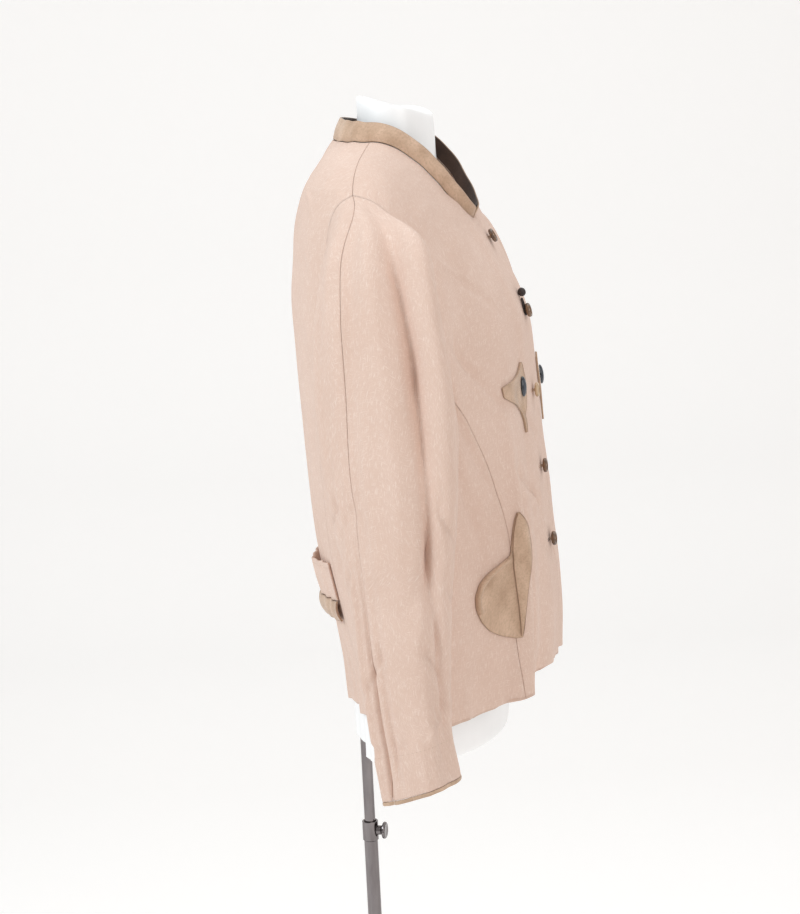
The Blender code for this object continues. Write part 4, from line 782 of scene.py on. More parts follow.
def sleeve(side, turn, row):
    """A point on the outside of a sleeve, with every fold and crease."""
    turn, row = np.broadcast_arrays(np.asarray(turn, float), np.asarray(row, float))
    out = sleeve_normal(sleeve_base, side, turn, row)
    height = fold_height(SLEEVE_FOLDS, turn, row, 1.0) + fold_height(SLEEVE_CREASES, turn, row, 1.0)
    around = 2 * math.pi * turn
    height = height + 0.0008 * wobble(np.sin(around) * 0.06 + row * 0.012 * side,
                                      np.cos(around) * 0.06 + row * 0.05, 70.0, 7 + side)
    return sleeve_base(side, turn, row) + out * (height * smooth_step(0.0, 1.0, row))[..., None]


print("neck seam at", np.round(bodice(np.array([0.0, 0.5, 1.0]), NECK)[:, 2], 3))

# %% [markdown]
# ## How a piece of cloth becomes a mesh
# A panel is a fine grid of points with its normals. Its border is turned over like a sewn edge: the
# last points roll inwards, so that two neighbours meet in a narrow dark groove, which is what a
# pressed seam looks like. An attribute tells the material where to paint shade: most on the rolled
# edge, less along the border and on the inner face. Where the sleeve leaves the bodice there is no
# seam, so the points near that line are drawn towards their neighbours.


# %% The cloth mesh
def add_piece(name, points, faces, finish_name, body="form", uv=None, seam=None, smooth=50.0):
    """A named object from points and faces, riding on a body, with its own finish."""
    mesh = bpy.data.meshes.new(name)
    mesh.from_pydata(np.asarray(points, float).tolist(), [], faces)
    mesh.materials.append(FINISH[finish_name])
    if uv is not None:
        layer = mesh.uv_layers.new(name="cloth")
        corners = np.zeros(len(mesh.loops), int)
        mesh.loops.foreach_get("vertex_index", corners)
        layer.data.foreach_set("uv", np.asarray(uv, float)[corners].ravel())
    if seam is not None:
        mesh.attributes.new("seam", "FLOAT", "POINT").data.foreach_set("value", np.asarray(seam, float))
    mesh.shade_smooth()
    mesh.set_sharp_from_angle(angle=math.radians(smooth))
    thing = bpy.data.objects.new(name, mesh)
    bpy.context.scene.collection.objects.link(thing)
    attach(thing, body)
    return thing


ROLL = ((0.00026, 0.00012), (0.00008, 0.0006), (0.00020, 0.0013))   # drawn back, and down, at the edge


EASE_REACH = 0.050       # how far from the armhole the cloth is eased
EASE_ROUNDS = 40
EASE_STEP = 0.5          # of the way to the neighbours' mean, each round
EASE_FULL = 1.5          # over 1 keeps the full pull close to the line


def eased(points, quads, meeting):
    """Points drawn to the mean of their neighbours near the line where sleeve and bodice meet."""
    quads = np.array(quads)
    pairs = np.concatenate([quads[:, [k, (k + 1) % 4]] for k in range(4)])
    both = np.concatenate([pairs, pairs[:, ::-1]])
    tally = np.bincount(both[:, 0], minlength=len(points))
    used = np.sort(pairs, axis=1)
    kinds, counts = np.unique(used, axis=0, return_counts=True)
    near = KDTree(len(meeting))
    for k, place in enumerate(meeting):
        near.insert(Vector(place), k)
    near.balance()
    away = np.array([near.find(Vector(place))[2] for place in points])
    pull = EASE_STEP * np.clip(EASE_FULL * (1 - away / EASE_REACH), 0.0, 1.0)
    pull[kinds[counts == 1].ravel()] = 0.0          # the sewn edges stay where they are
    for _ in range(EASE_ROUNDS):
        total = np.stack([np.bincount(both[:, 0], points[both[:, 1], k], len(points)) for k in range(3)],
                         axis=1)
        points = points + pull[:, None] * (total / np.maximum(tally, 1)[:, None] - points)
    return points


def cloth_piece(name, grids, thick, finish_name, edge=0.00045):
    """A wall of cloth from one or more (points, normals, uv) grids of its outside, with rolled edges."""
    index, points, normals, uvs, quads = {}, [], [], [], []
    for grid, grid_normals, grid_uv in grids:
        rows, columns = grid.shape[:2]
        places = np.zeros((rows, columns), int)
        keys = np.round(grid, 6)
        for i in range(rows):
            for j in range(columns):
                key = tuple(keys[i, j])
                spot = index.setdefault(key, len(points))
                if spot == len(points):
                    points.append(grid[i, j])
                    normals.append(np.zeros(3))
                    uvs.append(grid_uv[i, j])
                places[i, j] = spot
                normals[spot] = normals[spot] + grid_normals[i, j]
        facing = np.cross(np.gradient(grid, axis=1), np.gradient(grid, axis=0))
        flip = np.sum(facing * grid_normals) < 0
        for i in range(rows - 1):
            for j in range(columns - 1):
                quad = [int(places[i, j]), int(places[i, j + 1]), int(places[i + 1, j + 1]),
                        int(places[i + 1, j])]
                quads.append(quad[::-1] if flip else quad)
    points, normals, uvs = np.array(points), unit(np.array(normals)), np.array(uvs)
    if len(grids) > 1:
        points = eased(points, quads, grids[1][0][0])
    once = {}
    for quad in quads:
        for a, b in zip(quad, quad[1:] + quad[:1]):
            if (b, a) in once:
                del once[(b, a)]
            else:
                once[(a, b)] = quad
    inward = np.zeros(points.shape)
    for (a, b), quad in once.items():
        way = unit(points[b] - points[a])
        towards = points[quad].mean(axis=0) - (points[a] + points[b]) / 2
        towards = unit(towards - way * (towards @ way))
        inward[a] += towards
        inward[b] += towards
    inward = unit(inward)
    border = sorted({v for pair in once for v in pair})
    lips = {}
    all_points = [points + inward * edge]
    count = len(points)
    extra, extra_uv = [], []
    for v in border:
        lips[v] = []
        for back, down in ROLL:
            lips[v].append(count + len(extra))
            extra.append(points[v] + inward[v] * back - normals[v] * min(down, thick))
            extra_uv.append(uvs[v])
    inner_start = count + len(extra)
    all_points += [np.array(extra), points + inward * (edge + 0.0006) - normals * thick]
    faces = [tuple(q) for q in quads] + [tuple(inner_start + v for v in reversed(q)) for q in quads]
    for a, b in once:
        chain_a = [a] + lips[a] + [inner_start + a]
        chain_b = [b] + lips[b] + [inner_start + b]
        for k in range(len(chain_a) - 1):
            faces.append((chain_b[k], chain_a[k], chain_a[k + 1], chain_b[k + 1]))
    # the seam attribute is where the materials paint shade: 0.35 on the border, full on the rolled lips, 0.3
    # on the inner face
    edge_mask = np.zeros(count)
    edge_mask[border] = 0.35
    seam = np.concatenate([edge_mask, np.ones(len(extra)), np.full(count, 0.3)])
    uv = np.concatenate([uvs, np.array(extra_uv), uvs])
    return add_piece(name, np.concatenate(all_points), faces, finish_name, uv=uv, seam=seam)


def cloth_uv(points, centre):
    """Grain in metres: along the rows from a centre column, and up the columns from the first row."""
    across = np.linalg.norm(np.diff(points, axis=1), axis=2)
    u = np.concatenate([np.zeros((len(points), 1)), np.cumsum(across, axis=1)], axis=1)
    u = u - u[:, centre:centre + 1 or None]
    up = np.linalg.norm(np.diff(points, axis=0), axis=2)
    v = np.concatenate([np.zeros((1, points.shape[1])), np.cumsum(up, axis=0)], axis=0)
    return np.stack([u, v], axis=-1)


# %% [markdown]
# ## The panels
# Each front is cut in one with the front half of its sleeve, and each half of the back with the back
# half: there is no armhole seam, only one along the shoulder and the outer arm and one under it. A
# side panel fills the space below the arm. Row spacing is closest where the cloth bends most.

# %% Grids of the bodice
PANEL_LEVELS = np.concatenate([
    np.linspace(0.0, 5.2, 84), np.linspace(5.25, MEETING_LEVEL, 9)[:-1],
    armhole_place(np.arange(MEETING, 0, -1))[1], np.linspace(SHOULDER, NECK, 26)])


def bodice_grid(side, turns, levels, lift=0.0, centre=-1):
    """Points, normals and grain at a grid of the right half's turns and levels."""
    turns = mirrored(turns, side)
    normals = surface_normal(bodice, turns, levels)
    points = bodice(turns, levels) + normals * np.asarray(lift)[..., None]
    return points, normals, cloth_uv(points, centre)


def half_sleeve(side, front_half):
    """Points, normals and grain of half of a sleeve, from the overarm seam to the one under the arm."""
    rows = np.concatenate([np.linspace(0.0, 9.0, 118), np.linspace(9.05, CUFF, 17)])
    seam = spline(OVERARM, rows)[:, 0]
    along = np.linspace(0.0, 1.0, ARMHOLE_STEPS // 2 + 1)
    turns = seam[:, None] + (0.5 - seam[:, None]) * along if front_half else 0.5 + (0.5 + seam[:,
        None]) * along
    points = sleeve(side, turns, np.repeat(rows[:, None], len(along), axis=1))
    turn, level = armhole_place(turns[0] * ARMHOLE_STEPS)
    points[0] = bodice(mirrored(turn, side), level)
    normals = sleeve_normal(sleeve, side, turns, np.repeat(rows[:, None], len(along), axis=1))
    return points, normals, cloth_uv(points, len(along) // 2)


def front(side, word):
    """A front: from the side seam and the armhole to its edge past the centre front."""
    start = panel_edge(PANEL_LEVELS, side_front_turn, True)
    end = turn_at(PANEL_LEVELS, FRONT_LAP if side < 0 else FRONT_UNDERLAP)
    along = np.linspace(0.0, 1.0, 101)
    turns = start[:, None] + (end - start)[:, None] * along
    corner = FRONT_CORNER * (1 - np.sqrt(1 - np.clip((along - 0.80) / 0.20, 0.0, 1.0) ** 2 * 0.96))
    levels = PANEL_LEVELS[:, None] + corner * np.clip(1 - PANEL_LEVELS[:, None] / 4.0, 0.0, 1.0)
    lift = LAP_LIFT * smooth_step(-0.046, -0.028, bodice(turns, levels)[..., 0]) if side < 0 else 0.0
    return cloth_piece(f"front_{word}_cloth", (bodice_grid(side, turns, levels, lift),
                                               half_sleeve(side, True)), CLOTH, "linen")


def back(side, word):
    """Half of the back, from the centre seam."""
    end = panel_edge(PANEL_LEVELS, side_back_turn, False)
    turns = end[:, None] * np.linspace(0.0, 1.0, 81)
    levels = np.repeat(PANEL_LEVELS[:, None], 81, axis=1)
    return cloth_piece(f"back_{word}_cloth", (bodice_grid(side, turns, levels, 0.0, 0),
                                              half_sleeve(side, False)), CLOTH, "linen")


def side_panel(side, word):
    """The panel under the arm, whose upper edge is the lower part of the armhole."""
    steps = np.arange(ARMHOLE_STEPS - MEETING, MEETING - 1, -1)
    top_turn, top_level = armhole_place(steps)
    levels = PANEL_LEVELS[PANEL_LEVELS <= MEETING_LEVEL + 1e-6]
    grid = levels[:, None] * top_level / MEETING_LEVEL
    edges = side_back_turn(grid), side_front_turn(grid)
    turns = edges[0] + np.linspace(0.0, 1.0, len(steps)) * (edges[1] - edges[0])
    turns = turns + (top_turn - turns[-1]) * smooth_step(0.45, 1.0, levels / MEETING_LEVEL)[:, None]
    return cloth_piece(f"side_{word}_cloth", (bodice_grid(side, turns, grid, 0.0, len(steps) // 2),), CLOTH,
                       "linen")


# %% Make the panels
SIDES = ((-1, "right"), (1, "left"))
panels = {}
for side, word in SIDES:
    for kind, maker in (("front", front), ("back", back), ("side", side_panel)):
        piece = maker(side, word)
        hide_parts(f"{kind}_{word}")
        panels[f"{kind}_{word}"] = piece
print("panels", {name: len(piece.data.polygons) for name, piece in panels.items()})


# %% [markdown]
# ## Letting a piece down on the cloth
# Trims must touch the folds they are sewn to. A ray from outside finds the cloth under each point, so
# the suede follows every ridge, and no part of it floats or sinks in.


# %% Settling
def tree_of(names):
    """A search tree of the facets of some finished pieces."""
    points, faces = [], []
    for thing in names:
        start = len(points)
        points += [vertex.co[:] for vertex in thing.data.vertices]
        faces += [tuple(start + v for v in face.vertices) for face in thing.data.polygons]
    return BVHTree.FromPolygons(points, faces)


def settled(points, normals, tree, reach=0.02):
    """Points let down along their normals on to a tree's facets."""
    low = np.array(points, float)
    for place in np.ndindex(low.shape[:-1]):
        point, normal = Vector(points[place]), Vector(normals[place])
        hit = tree.ray_cast(point + normal * reach, -normal, 2 * reach)[0]
        if hit is not None:
            low[place] = hit
    return low


TREES = {-1: tree_of([panels["front_right"], panels["side_right"]]),
         1: tree_of([panels["front_left"], panels["side_left"]]),
         0: tree_of([panels["back_right"], panels["back_left"]])}

# outlines of the suede: height above the low end, and width there to the side and to the front
POCKET_OUTLINE = (
    (0.000, 0.0030, 0.0010), (0.005, 0.0220, 0.0020), (0.013, 0.0380, 0.0028), (0.025, 0.0500, 0.0036),
    (0.038, 0.0570, 0.0050), (0.050, 0.0580, 0.0066), (0.062, 0.0520, 0.0084), (0.071, 0.0400, 0.0096),
    (0.078, 0.0240, 0.0104), (0.083, 0.0110, 0.0108), (0.095, 0.0090, 0.0112), (0.108, 0.0070, 0.0096),
    (0.119, 0.0042, 0.0060), (0.126, 0.0010, 0.0010),
)
POCKET_TURN, POCKET_Z, POCKET_SLOPE = 0.815, 0.917, 0.16
CHEST_OUTLINE = (
    (0.000, 0.0010, 0.0010), (0.012, 0.0030, 0.0022), (0.022, 0.0060, 0.0032), (0.029, 0.0180, 0.0044),
    (0.036, 0.0360, 0.0056), (0.042, 0.0480, 0.0064), (0.053, 0.0500, 0.0066), (0.057, 0.0340, 0.0060),
    (0.061, 0.0160, 0.0050), (0.066, 0.0060, 0.0036), (0.073, 0.0010, 0.0010),
)
CHEST_TURN, CHEST_Z = {-1: 0.928, 1: 0.905}, 1.117

def spaced_turn(centre, level, distance):
    """The turn at a distance along the ring from a centre turn."""
    step = 0.001
    speed = np.linalg.norm(bodice_base(centre + step, level) - bodice_base(centre - step, level), axis=-1)
    return centre + distance * 2 * step / speed
# %% Patches of suede
def patch_grid(side, outline, turn, low_z, slope, tree, columns=49, rows=111):
    """Points and normals of a flat patch, from a table of heights and half widths."""
    table = np.array(outline)
    heights = np.linspace(table[0, 0], table[-1, 0], rows)
    widths = [np.maximum(np.interp(heights, table[:, 0], table[:, k]), 0.0006) for k in (1, 2)]
    widths = [np.convolve(np.pad(width, 2, mode="edge"), np.ones(5) / 5, mode="valid")[:,
        None] for width in widths]
    across = np.sin(np.linspace(-math.pi / 2, math.pi / 2, columns))
    centre = turn + slope * heights
    level = level_at(centre, low_z + heights)
    turns = spaced_turn(centre[:, None], level[:, None], across * np.where(across < 0, *widths))
    levels = level_at(turns, (low_z + heights)[:, None])
    turns = mirrored(turns, side)
    normals = surface_normal(bodice, turns, levels)
    return settled(bodice(turns, levels), normals, tree), normals


def smooth_normals(normals, rounds=3):
    """Normals averaged with their neighbours, so that a layer doesn't fold over in a crease."""
    for _ in range(rounds):
        padded = np.pad(normals, ((1, 1), (1, 1), (0, 0)), mode="edge")
        normals = unit(padded[:-2, 1:-1] + padded[2:, 1:-1] + padded[1:-1, :-2] + padded[1:-1, 2:] + normals)
    return normals


def swept(name, points, outward, upward, profile, finish_name, closed=False, radius_share=None):
    """A bar whose section is a profile of (out, up) places, carried along a path."""
    points, outward, upward = (np.asarray(part, float) for part in (points, outward, upward))
    share = np.ones(len(points)) if radius_share is None else radius_share
    section = np.array(profile)
    rings = (points[:, None] + outward[:, None] * (section[None, :, :1] * share[:, None, None])
             + upward[:, None] * (section[None, :, 1:] * share[:, None, None]))
    count, sides = rings.shape[:2]
    vertices = rings.reshape(-1, 3)
    faces = []
    for i in range(count if closed else count - 1):
        j = (i + 1) % count
        for k in range(sides):
            m = (k + 1) % sides
            faces.append((i * sides + k, j * sides + k, j * sides + m, i * sides + m))
    if not closed:
        faces.append(tuple(range(sides)))
        faces.append(tuple((count - 1) * sides + k for k in reversed(range(sides))))
    around = np.linspace(0.0, 1.0, sides)
    travel = np.concatenate([[0.0], np.cumsum(np.linalg.norm(np.diff(points, axis=0), axis=1))])
    perimeter = np.linalg.norm(np.roll(section, -1, axis=0) - section, axis=1).sum()
    uv = np.stack(np.broadcast_arrays(travel[:, None], around[None] * perimeter), axis=-1).reshape(-1, 2)
    piece = add_piece(name, vertices, faces, finish_name, uv=uv, seam=np.zeros(len(vertices)))
    tidy = bmesh.new()
    tidy.from_mesh(piece.data)
    bmesh.ops.recalc_face_normals(tidy, faces=tidy.faces)
    tidy.to_mesh(piece.data)
    tidy.free()
    return piece


def round_profile(radius, sides=8, squash=1.0):
    """A round or oval section."""
    angles = np.arange(sides) * 2 * math.pi / sides
    return [(radius * squash * math.cos(a), radius * math.sin(a)) for a in angles]


def stitches(name, path, normals, finish_name="thread", pitch=0.0034, length=0.0023, radius=0.00028,
             sink=0.0):
    """A line of small oval stitches along a path that lies on a surface."""
    path, normals = np.asarray(path, float), np.asarray(normals, float)
    travel = np.concatenate([[0.0], np.cumsum(np.linalg.norm(np.diff(path, axis=0), axis=1))])
    count = int(travel[-1] / pitch)
    vertices, faces = [], []
    sides = 6
    for number in range(count):
        start = (number + 0.5) * pitch - length / 2
        spots = start + np.linspace(0.0, 1.0, 5) * length
        middle = np.stack([np.interp(spots, travel, path[:, k]) for k in range(3)], axis=-1)
        normal = unit(np.stack([np.interp(spots, travel, normals[:, k]) for k in range(3)], axis=-1))
        along = unit(middle[-1] - middle[0])
        aside_way = unit(np.cross(along, normal))
        for step, (spot, up_way, across_way) in enumerate(zip(middle, normal, aside_way)):
            swell = math.sin(math.pi * (0.12 + 0.76 * step / 4))
            for k in range(sides):
                angle = 2 * math.pi * k / sides
                lift = radius * swell * math.sin(angle) + (swell - 0.75) * radius - sink
                vertices.append(spot + across_way * (radius * swell * math.cos(angle)) + up_way * lift)
        base = number * 5 * sides
        for step in range(4):
            for k in range(sides):
                m = (k + 1) % sides
                faces.append((base + step * sides + k, base + step * sides + m,
                              base + (step + 1) * sides + m, base + (step + 1) * sides + k))
        faces.append(tuple(base + k for k in reversed(range(sides))))
        faces.append(tuple(base + 4 * sides + k for k in range(sides)))
    return add_piece(name, vertices, faces, finish_name)


# %% [markdown]
# ## Pockets and chest patches
# Each pocket is a pointed suede leaf with a round lobe and a padded welt along its mouth. The chest
# patches are tulip shaped, with a dark oval stud. A row of stitches runs just inside each edge.


# %% Make the pockets, welts, patches and studs
def inset_outline(points, normals, inset):
    """A path inside the border of a grid, at a distance from it."""
    rim = np.concatenate([points[:, 0], points[::-1, -1]])
    rim_normals = np.concatenate([normals[:, 0], normals[::-1, -1]])
    travel = np.concatenate([[0.0], np.cumsum(np.linalg.norm(np.diff(rim, axis=0), axis=1))])
    spots = np.linspace(0.0, travel[-1], 260)
    rim = np.stack([np.interp(spots, travel, rim[:, k]) for k in range(3)], axis=-1)
    rim_normals = unit(np.stack([np.interp(spots, travel, rim_normals[:, k]) for k in range(3)], axis=-1))
    along = unit(np.roll(rim, -1, axis=0) - np.roll(rim, 1, axis=0))
    side_way = unit(np.cross(rim_normals, along))
    middle = points.mean(axis=(0, 1))
    if np.sum(side_way * (middle - rim)) < 0:
        side_way = -side_way
    moved = rim + side_way * inset
    travel = np.linalg.norm(moved[:, None] - rim[None], axis=2).min(axis=1)
    keep = travel > inset * 0.9
    return moved[keep], rim_normals[keep]


def suede_patch(name, side, outline, turn, low_z, slope, swell, tree, thick, inset):
    """A patch with rolled edges and a slight swell, and its stitches."""
    points, normals = patch_grid(side, outline, turn, low_z, slope, tree)
    normals = smooth_normals(normals)
    rows, columns = points.shape[:2]
    rise = np.sin(np.linspace(0, math.pi, columns))[None] * np.sin(np.linspace(0, math.pi, rows))[:, None]
    top = points + normals * (0.0003 + thick + swell * rise ** 0.7)[..., None]
    grain = cloth_uv(top, columns // 2)
    piece = cloth_piece(name + "_suede", ((top, normals, grain),), thick, "suede", edge=0.0006)
    path, path_normals = inset_outline(top, normals, inset)
    stitches(name + "_stitches", path, path_normals, "thread", sink=-0.0001)
    return piece


PETAL_OUTLINE = (
    (0.002, 0.0008, 0.0008), (0.020, 0.0030, 0.0022), (0.045, 0.0058, 0.0052), (0.070, 0.0086, 0.0088),
    (0.090, 0.0088, 0.0104), (0.106, 0.0070, 0.0092), (0.118, 0.0040, 0.0054), (0.125, 0.0008, 0.0008),
)
SHEETS, TRIMMED = {}, {}
for side, word in SIDES:
    pocket = suede_patch(f"pocket_{word}", side, POCKET_OUTLINE, POCKET_TURN, POCKET_Z, POCKET_SLOPE, 0.0010,
                         TREES[side], SUEDE, 0.0026)
    patch = suede_patch(f"chest_patch_{word}", side, CHEST_OUTLINE, CHEST_TURN[side], CHEST_Z, 0.0, 0.0008,
                        TREES[side], SUEDE, 0.0022)
    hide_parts(f"pocket_{word}")
    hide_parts(f"chest_patch_{word}")
    petal = suede_patch(f"pocket_petal_{word}", side, PETAL_OUTLINE, POCKET_TURN, POCKET_Z, POCKET_SLOPE,
                        0.0008,
                        tree_of([panels[f"front_{word}"], panels[f"side_{word}"], pocket]), 0.0010, 0.0020)
    SHEETS[f"pocket_{word}"], SHEETS[f"chest_patch_{word}"] = pocket, patch
    SHEETS[f"pocket_petal_{word}"] = petal
    TRIMMED[side] = tree_of([panels[f"front_{word}"], panels[f"side_{word}"], pocket, patch])
print("patches", sorted(SHEETS))


# %% Make the welts
def welt(side, word):
    """The padded mouth of a pocket, along the upper outer curve of the suede."""
    count, width = 61, 0.0065
    path = np.linspace(0.032, 0.0820, count)
    half = np.interp(path, np.array(POCKET_OUTLINE)[:, 0], np.array(POCKET_OUTLINE)[:, 1])
    half = np.convolve(np.pad(half, 3, mode="edge"), np.ones(7) / 7, mode="valid")
    slope = np.gradient(half, path)
    inward = np.stack([np.ones(count), slope], axis=-1)
    inward = inward / np.linalg.norm(inward, axis=1, keepdims=True)
    taper = width * (1 - 0.45 * smooth_step(0.6, 1.0, np.linspace(0, 1, count)))
    share = np.linspace(0.0, 1.0, 12)
    along = -half[:, None] + inward[:, :1] * taper[:, None] * share
    up = path[:, None] + inward[:, 1:] * taper[:, None] * share
    centre = POCKET_TURN + POCKET_SLOPE * up
    level = level_at(centre, POCKET_Z + up)
    turns = spaced_turn(centre, level, along)
    levels = level_at(turns, POCKET_Z + up)
    turns = mirrored(turns, side)
    normals = smooth_normals(surface_normal(bodice, turns, levels))
    points = settled(bodice(turns, levels), normals, TRIMMED[side])
    swell = 0.0014 + 0.0016 * np.sin(math.pi * share) ** 0.6
    top = points + normals * swell[None, :, None]
    piece = cloth_piece(f"pocket_welt_{word}_suede", ((top, normals, cloth_uv(top, 6)),), 0.0013, "suede",
                        edge=0.0004)
    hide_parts(f"pocket_welt_{word}")
    return piece


for side, word in SIDES:
    SHEETS[f"pocket_welt_{word}"] = welt(side, word)


# %% Frames on the cloth, and turned pieces
def cloth_frame(turn, z, tree, out):
    """A frame on the cloth: origin out of its face, local Z outward, local Y up."""
    turn = np.float64(turn)
    level = level_at(turn, z)
    normal = surface_normal(bodice, turn, level)
    origin = Vector(settled(bodice(turn, level)[None], normal[None], tree)[0])
    outward = Vector(normal).normalized()
    rightward = Vector((0.0, 0.0, 1.0)).cross(outward).normalized()
    rotation = Matrix((rightward, outward.cross(rightward), outward)).transposed().to_4x4()
    return Matrix.Translation(origin + outward * out) @ rotation


def turned_piece(name, profile, sides, finish_name, matrix=None, body="form", lobes=None, smooth=35.0):
    """A body of revolution about local Z. lobes(angle) scales its radius."""
    matrix = matrix or Matrix.Identity(4)
    vertices, faces = [], []
    for radius, height in profile:
        for k in range(sides):
            angle = 2 * math.pi * k / sides
            reach = radius * (lobes(angle) if lobes else 1.0)
            vertices.append((matrix @ Vector((reach * math.cos(angle), reach * math.sin(angle), height)))[:])
    for i in range(len(profile) - 1):
        for k in range(sides):
            m = (k + 1) % sides
            faces.append((i * sides + k, i * sides + m, (i + 1) * sides + m, (i + 1) * sides + k))
    faces.append(tuple(reversed(range(sides))))
    faces.append(tuple((len(profile) - 1) * sides + k for k in range(sides)))
    piece = add_piece(name, vertices, faces, finish_name, body, smooth=smooth)
    tidy = bmesh.new()
    tidy.from_mesh(piece.data)
    bmesh.ops.remove_doubles(tidy, verts=tidy.verts, dist=1e-7)
    bmesh.ops.recalc_face_normals(tidy, faces=tidy.faces)
    tidy.to_mesh(piece.data)
    tidy.free()
    return piece


def dome(radius, height, steps=12, low=0.0):
    """The profile of a low dome with a rounded rim."""
    points = [(radius * 0.9, low), (radius, low + height * 0.18)]
    for k in range(1, steps + 1):
        angle = math.pi / 2 * k / steps
        points.append((radius * math.cos(angle) + 1e-6, low + height * (0.18 + 0.82 * math.sin(angle))))
    return points


# %% Make the studs
for side, word in SIDES:
    tree = TRIMMED[side]
    frame_here = cloth_frame(mirrored(CHEST_TURN[side] - 0.004, side), CHEST_Z + 0.048, tree, 0.0002)
    squeeze = Matrix.Diagonal((0.70, 1.35, 1.0, 1.0))
    stud = turned_piece(f"chest_stud_{word}_dome", dome(0.0078, 0.0042), 48, "dark_stud",
                        frame_here @ squeeze)
    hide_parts(f"chest_stud_{word}")

# %% [markdown]
# ## Buttons, buttonholes and the cord
# The horn buttons are dished, with two holes and a few turns of thread. The second one carries a
# loop of dark cord that ends in a knob. Each buttonhole shows as a short row of dense stitches that
# runs out from under its button.

# %% Make the buttons
BUTTON_Z = (1.314, 1.238, 1.156, 1.076, 0.998)
BUTTON_RADIUS, BUTTON_HEIGHT, BUTTON_SHANK = 0.0075, 0.0038, 0.0028
HOLE_SPREAD, HOLE_RADIUS = 0.0017, 0.00090
FRONT_TREE = tree_of([panels["front_right"]])


def button_piece(number, z, finish_name):
    """A dished button with two holes, as a fine disc whose height depends on the place on it."""
    frame_here = cloth_frame(1.0, z, FRONT_TREE, 0.0002)
    radii = BUTTON_RADIUS * np.concatenate([np.linspace(0.0, 0.42, 26)[1:], np.linspace(0.45, 0.98, 16)])
    sides = 72
    angles = np.arange(sides) * 2 * math.pi / sides
    top = BUTTON_SHANK + BUTTON_HEIGHT
    vertices, faces = [], []
    turn_here = 0.35 * number
    for radius in radii:
        for angle in angles:
            x, y = radius * math.cos(angle), radius * math.sin(angle)
            dish = 0.0013 * (1 - float(smooth_step(0.54, 0.80, radius / BUTTON_RADIUS)))
            rim = 0.0008 * float(smooth_step(0.88, 1.0, radius / BUTTON_RADIUS))
            hole = 0.0
            for sign in (-1, 1):
                away = math.hypot(x - sign * HOLE_SPREAD * math.cos(turn_here),
                                  y - sign * HOLE_SPREAD * math.sin(turn_here))
                hole = max(hole, 0.0014 * (1 - float(smooth_step(HOLE_RADIUS * 0.75, HOLE_RADIUS * 1.25,
                    away))))
            vertices.append((x, y, top - dish - rim - hole))
    for radius, height in ((BUTTON_RADIUS, top - 0.0016), (BUTTON_RADIUS * 1.005, top - 0.0023),
                           (BUTTON_RADIUS, BUTTON_SHANK + 0.0012), (BUTTON_RADIUS * 0.94,
                               BUTTON_SHANK + 0.0004),
                           (BUTTON_RADIUS * 0.86, BUTTON_SHANK), (0.0024, BUTTON_SHANK)):
        vertices += [(radius * math.cos(a), radius * math.sin(a), height) for a in angles]
    rings = len(vertices) // sides
    for i in range(rings - 1):
        for k in range(sides):
            m = (k + 1) % sides
            faces.append((i * sides + k, (i + 1) * sides + k, (i + 1) * sides + m, i * sides + m))
    middle = len(vertices)
    vertices.append((0.0, 0.0, top - 0.0013))
    faces += [(middle, k, (k + 1) % sides) for k in range(sides)]
    faces.append(tuple((rings - 1) * sides + k for k in reversed(range(sides))))
    placed = [(frame_here @ Vector(v))[:] for v in vertices]
    piece = add_piece(f"button_{number}_disc", placed, faces, finish_name, smooth=60.0)
    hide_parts(f"button_{number}")
    shank = turned_piece(f"button_{number}_shank", ((0.0018, -0.0012), (0.0019, 0.0006), (0.0015, 0.0014),
                                                    (0.0018, 0.0022),
                                                    (0.0022,
                                                     BUTTON_SHANK + 0.0002)), 16, "thread", frame_here)
    bars = []
    for offset in (-0.00038, 0.0, 0.00038):
        path, up_way, out_way = [], [], []
        for step in np.linspace(-1.0, 1.0, 13):
            along = step * HOLE_SPREAD * 1.03
            x = along * math.cos(turn_here) - offset * math.sin(turn_here)
            y = along * math.sin(turn_here) + offset * math.cos(turn_here)
            rise = top - 0.0013 + 0.00050 * (1 - step ** 6) - 0.0009 * abs(step) ** 6
            path.append((frame_here @ Vector((x, y, rise)))[:])
            turned_way = frame_here.to_3x3() @ Vector((-math.sin(turn_here), math.cos(turn_here), 0.0))
            out_way.append(turned_way[:])
            up_way.append((frame_here.to_3x3() @ Vector((0.0, 0.0, 1.0)))[:])
        bars.append(swept(f"button_{number}_thread_{len(bars)}", path, out_way, up_way,
                          round_profile(0.00024, 6), "thread"))
    for part in bars + [shank]:
        part.parent = None
    return piece


for number, z in enumerate(BUTTON_Z, start=1):
    button_piece(number, z, "horn_pale" if number == 3 else "horn")
print("buttons at", BUTTON_Z)

# %% Make the buttonholes
for number, z in enumerate(BUTTON_Z, start=1):
    start = spaced_turn(np.float64(1.0), level_at(np.float64(1.0), z), 0.003)
    end = spaced_turn(np.float64(1.0), level_at(np.float64(1.0), z), -0.0125)
    line = np.linspace(start, end, 60)
    for offset in (-0.0009, 0.0009):
        levels = level_at(line, np.full(60, z + offset))
        normals = surface_normal(bodice, line, levels)
        path = settled(bodice(line, levels), normals, FRONT_TREE)
        stitches(f"buttonhole_{number}_{'low' if offset < 0 else 'high'}", path, normals,
                 "cord" if number == 5 else "thread",
                 pitch=0.00075, length=0.0012, radius=0.00034)


# %% Make the cord and its knob
def cord_path(frame_here, count=72):
    """The loop of cord round the second button's shank, drawn up towards its knob."""
    path = []
    for k in range(count):
        angle = 2 * math.pi * k / count
        wide = 0.0044 + 0.0004 * math.cos(angle)
        rise = 0.0085 * max(math.cos(angle), 0.0) ** 2
        path.append((frame_here @ Vector((wide * math.sin(angle), wide * math.cos(angle) + rise, 0.0)))[:])
    return np.array(path)


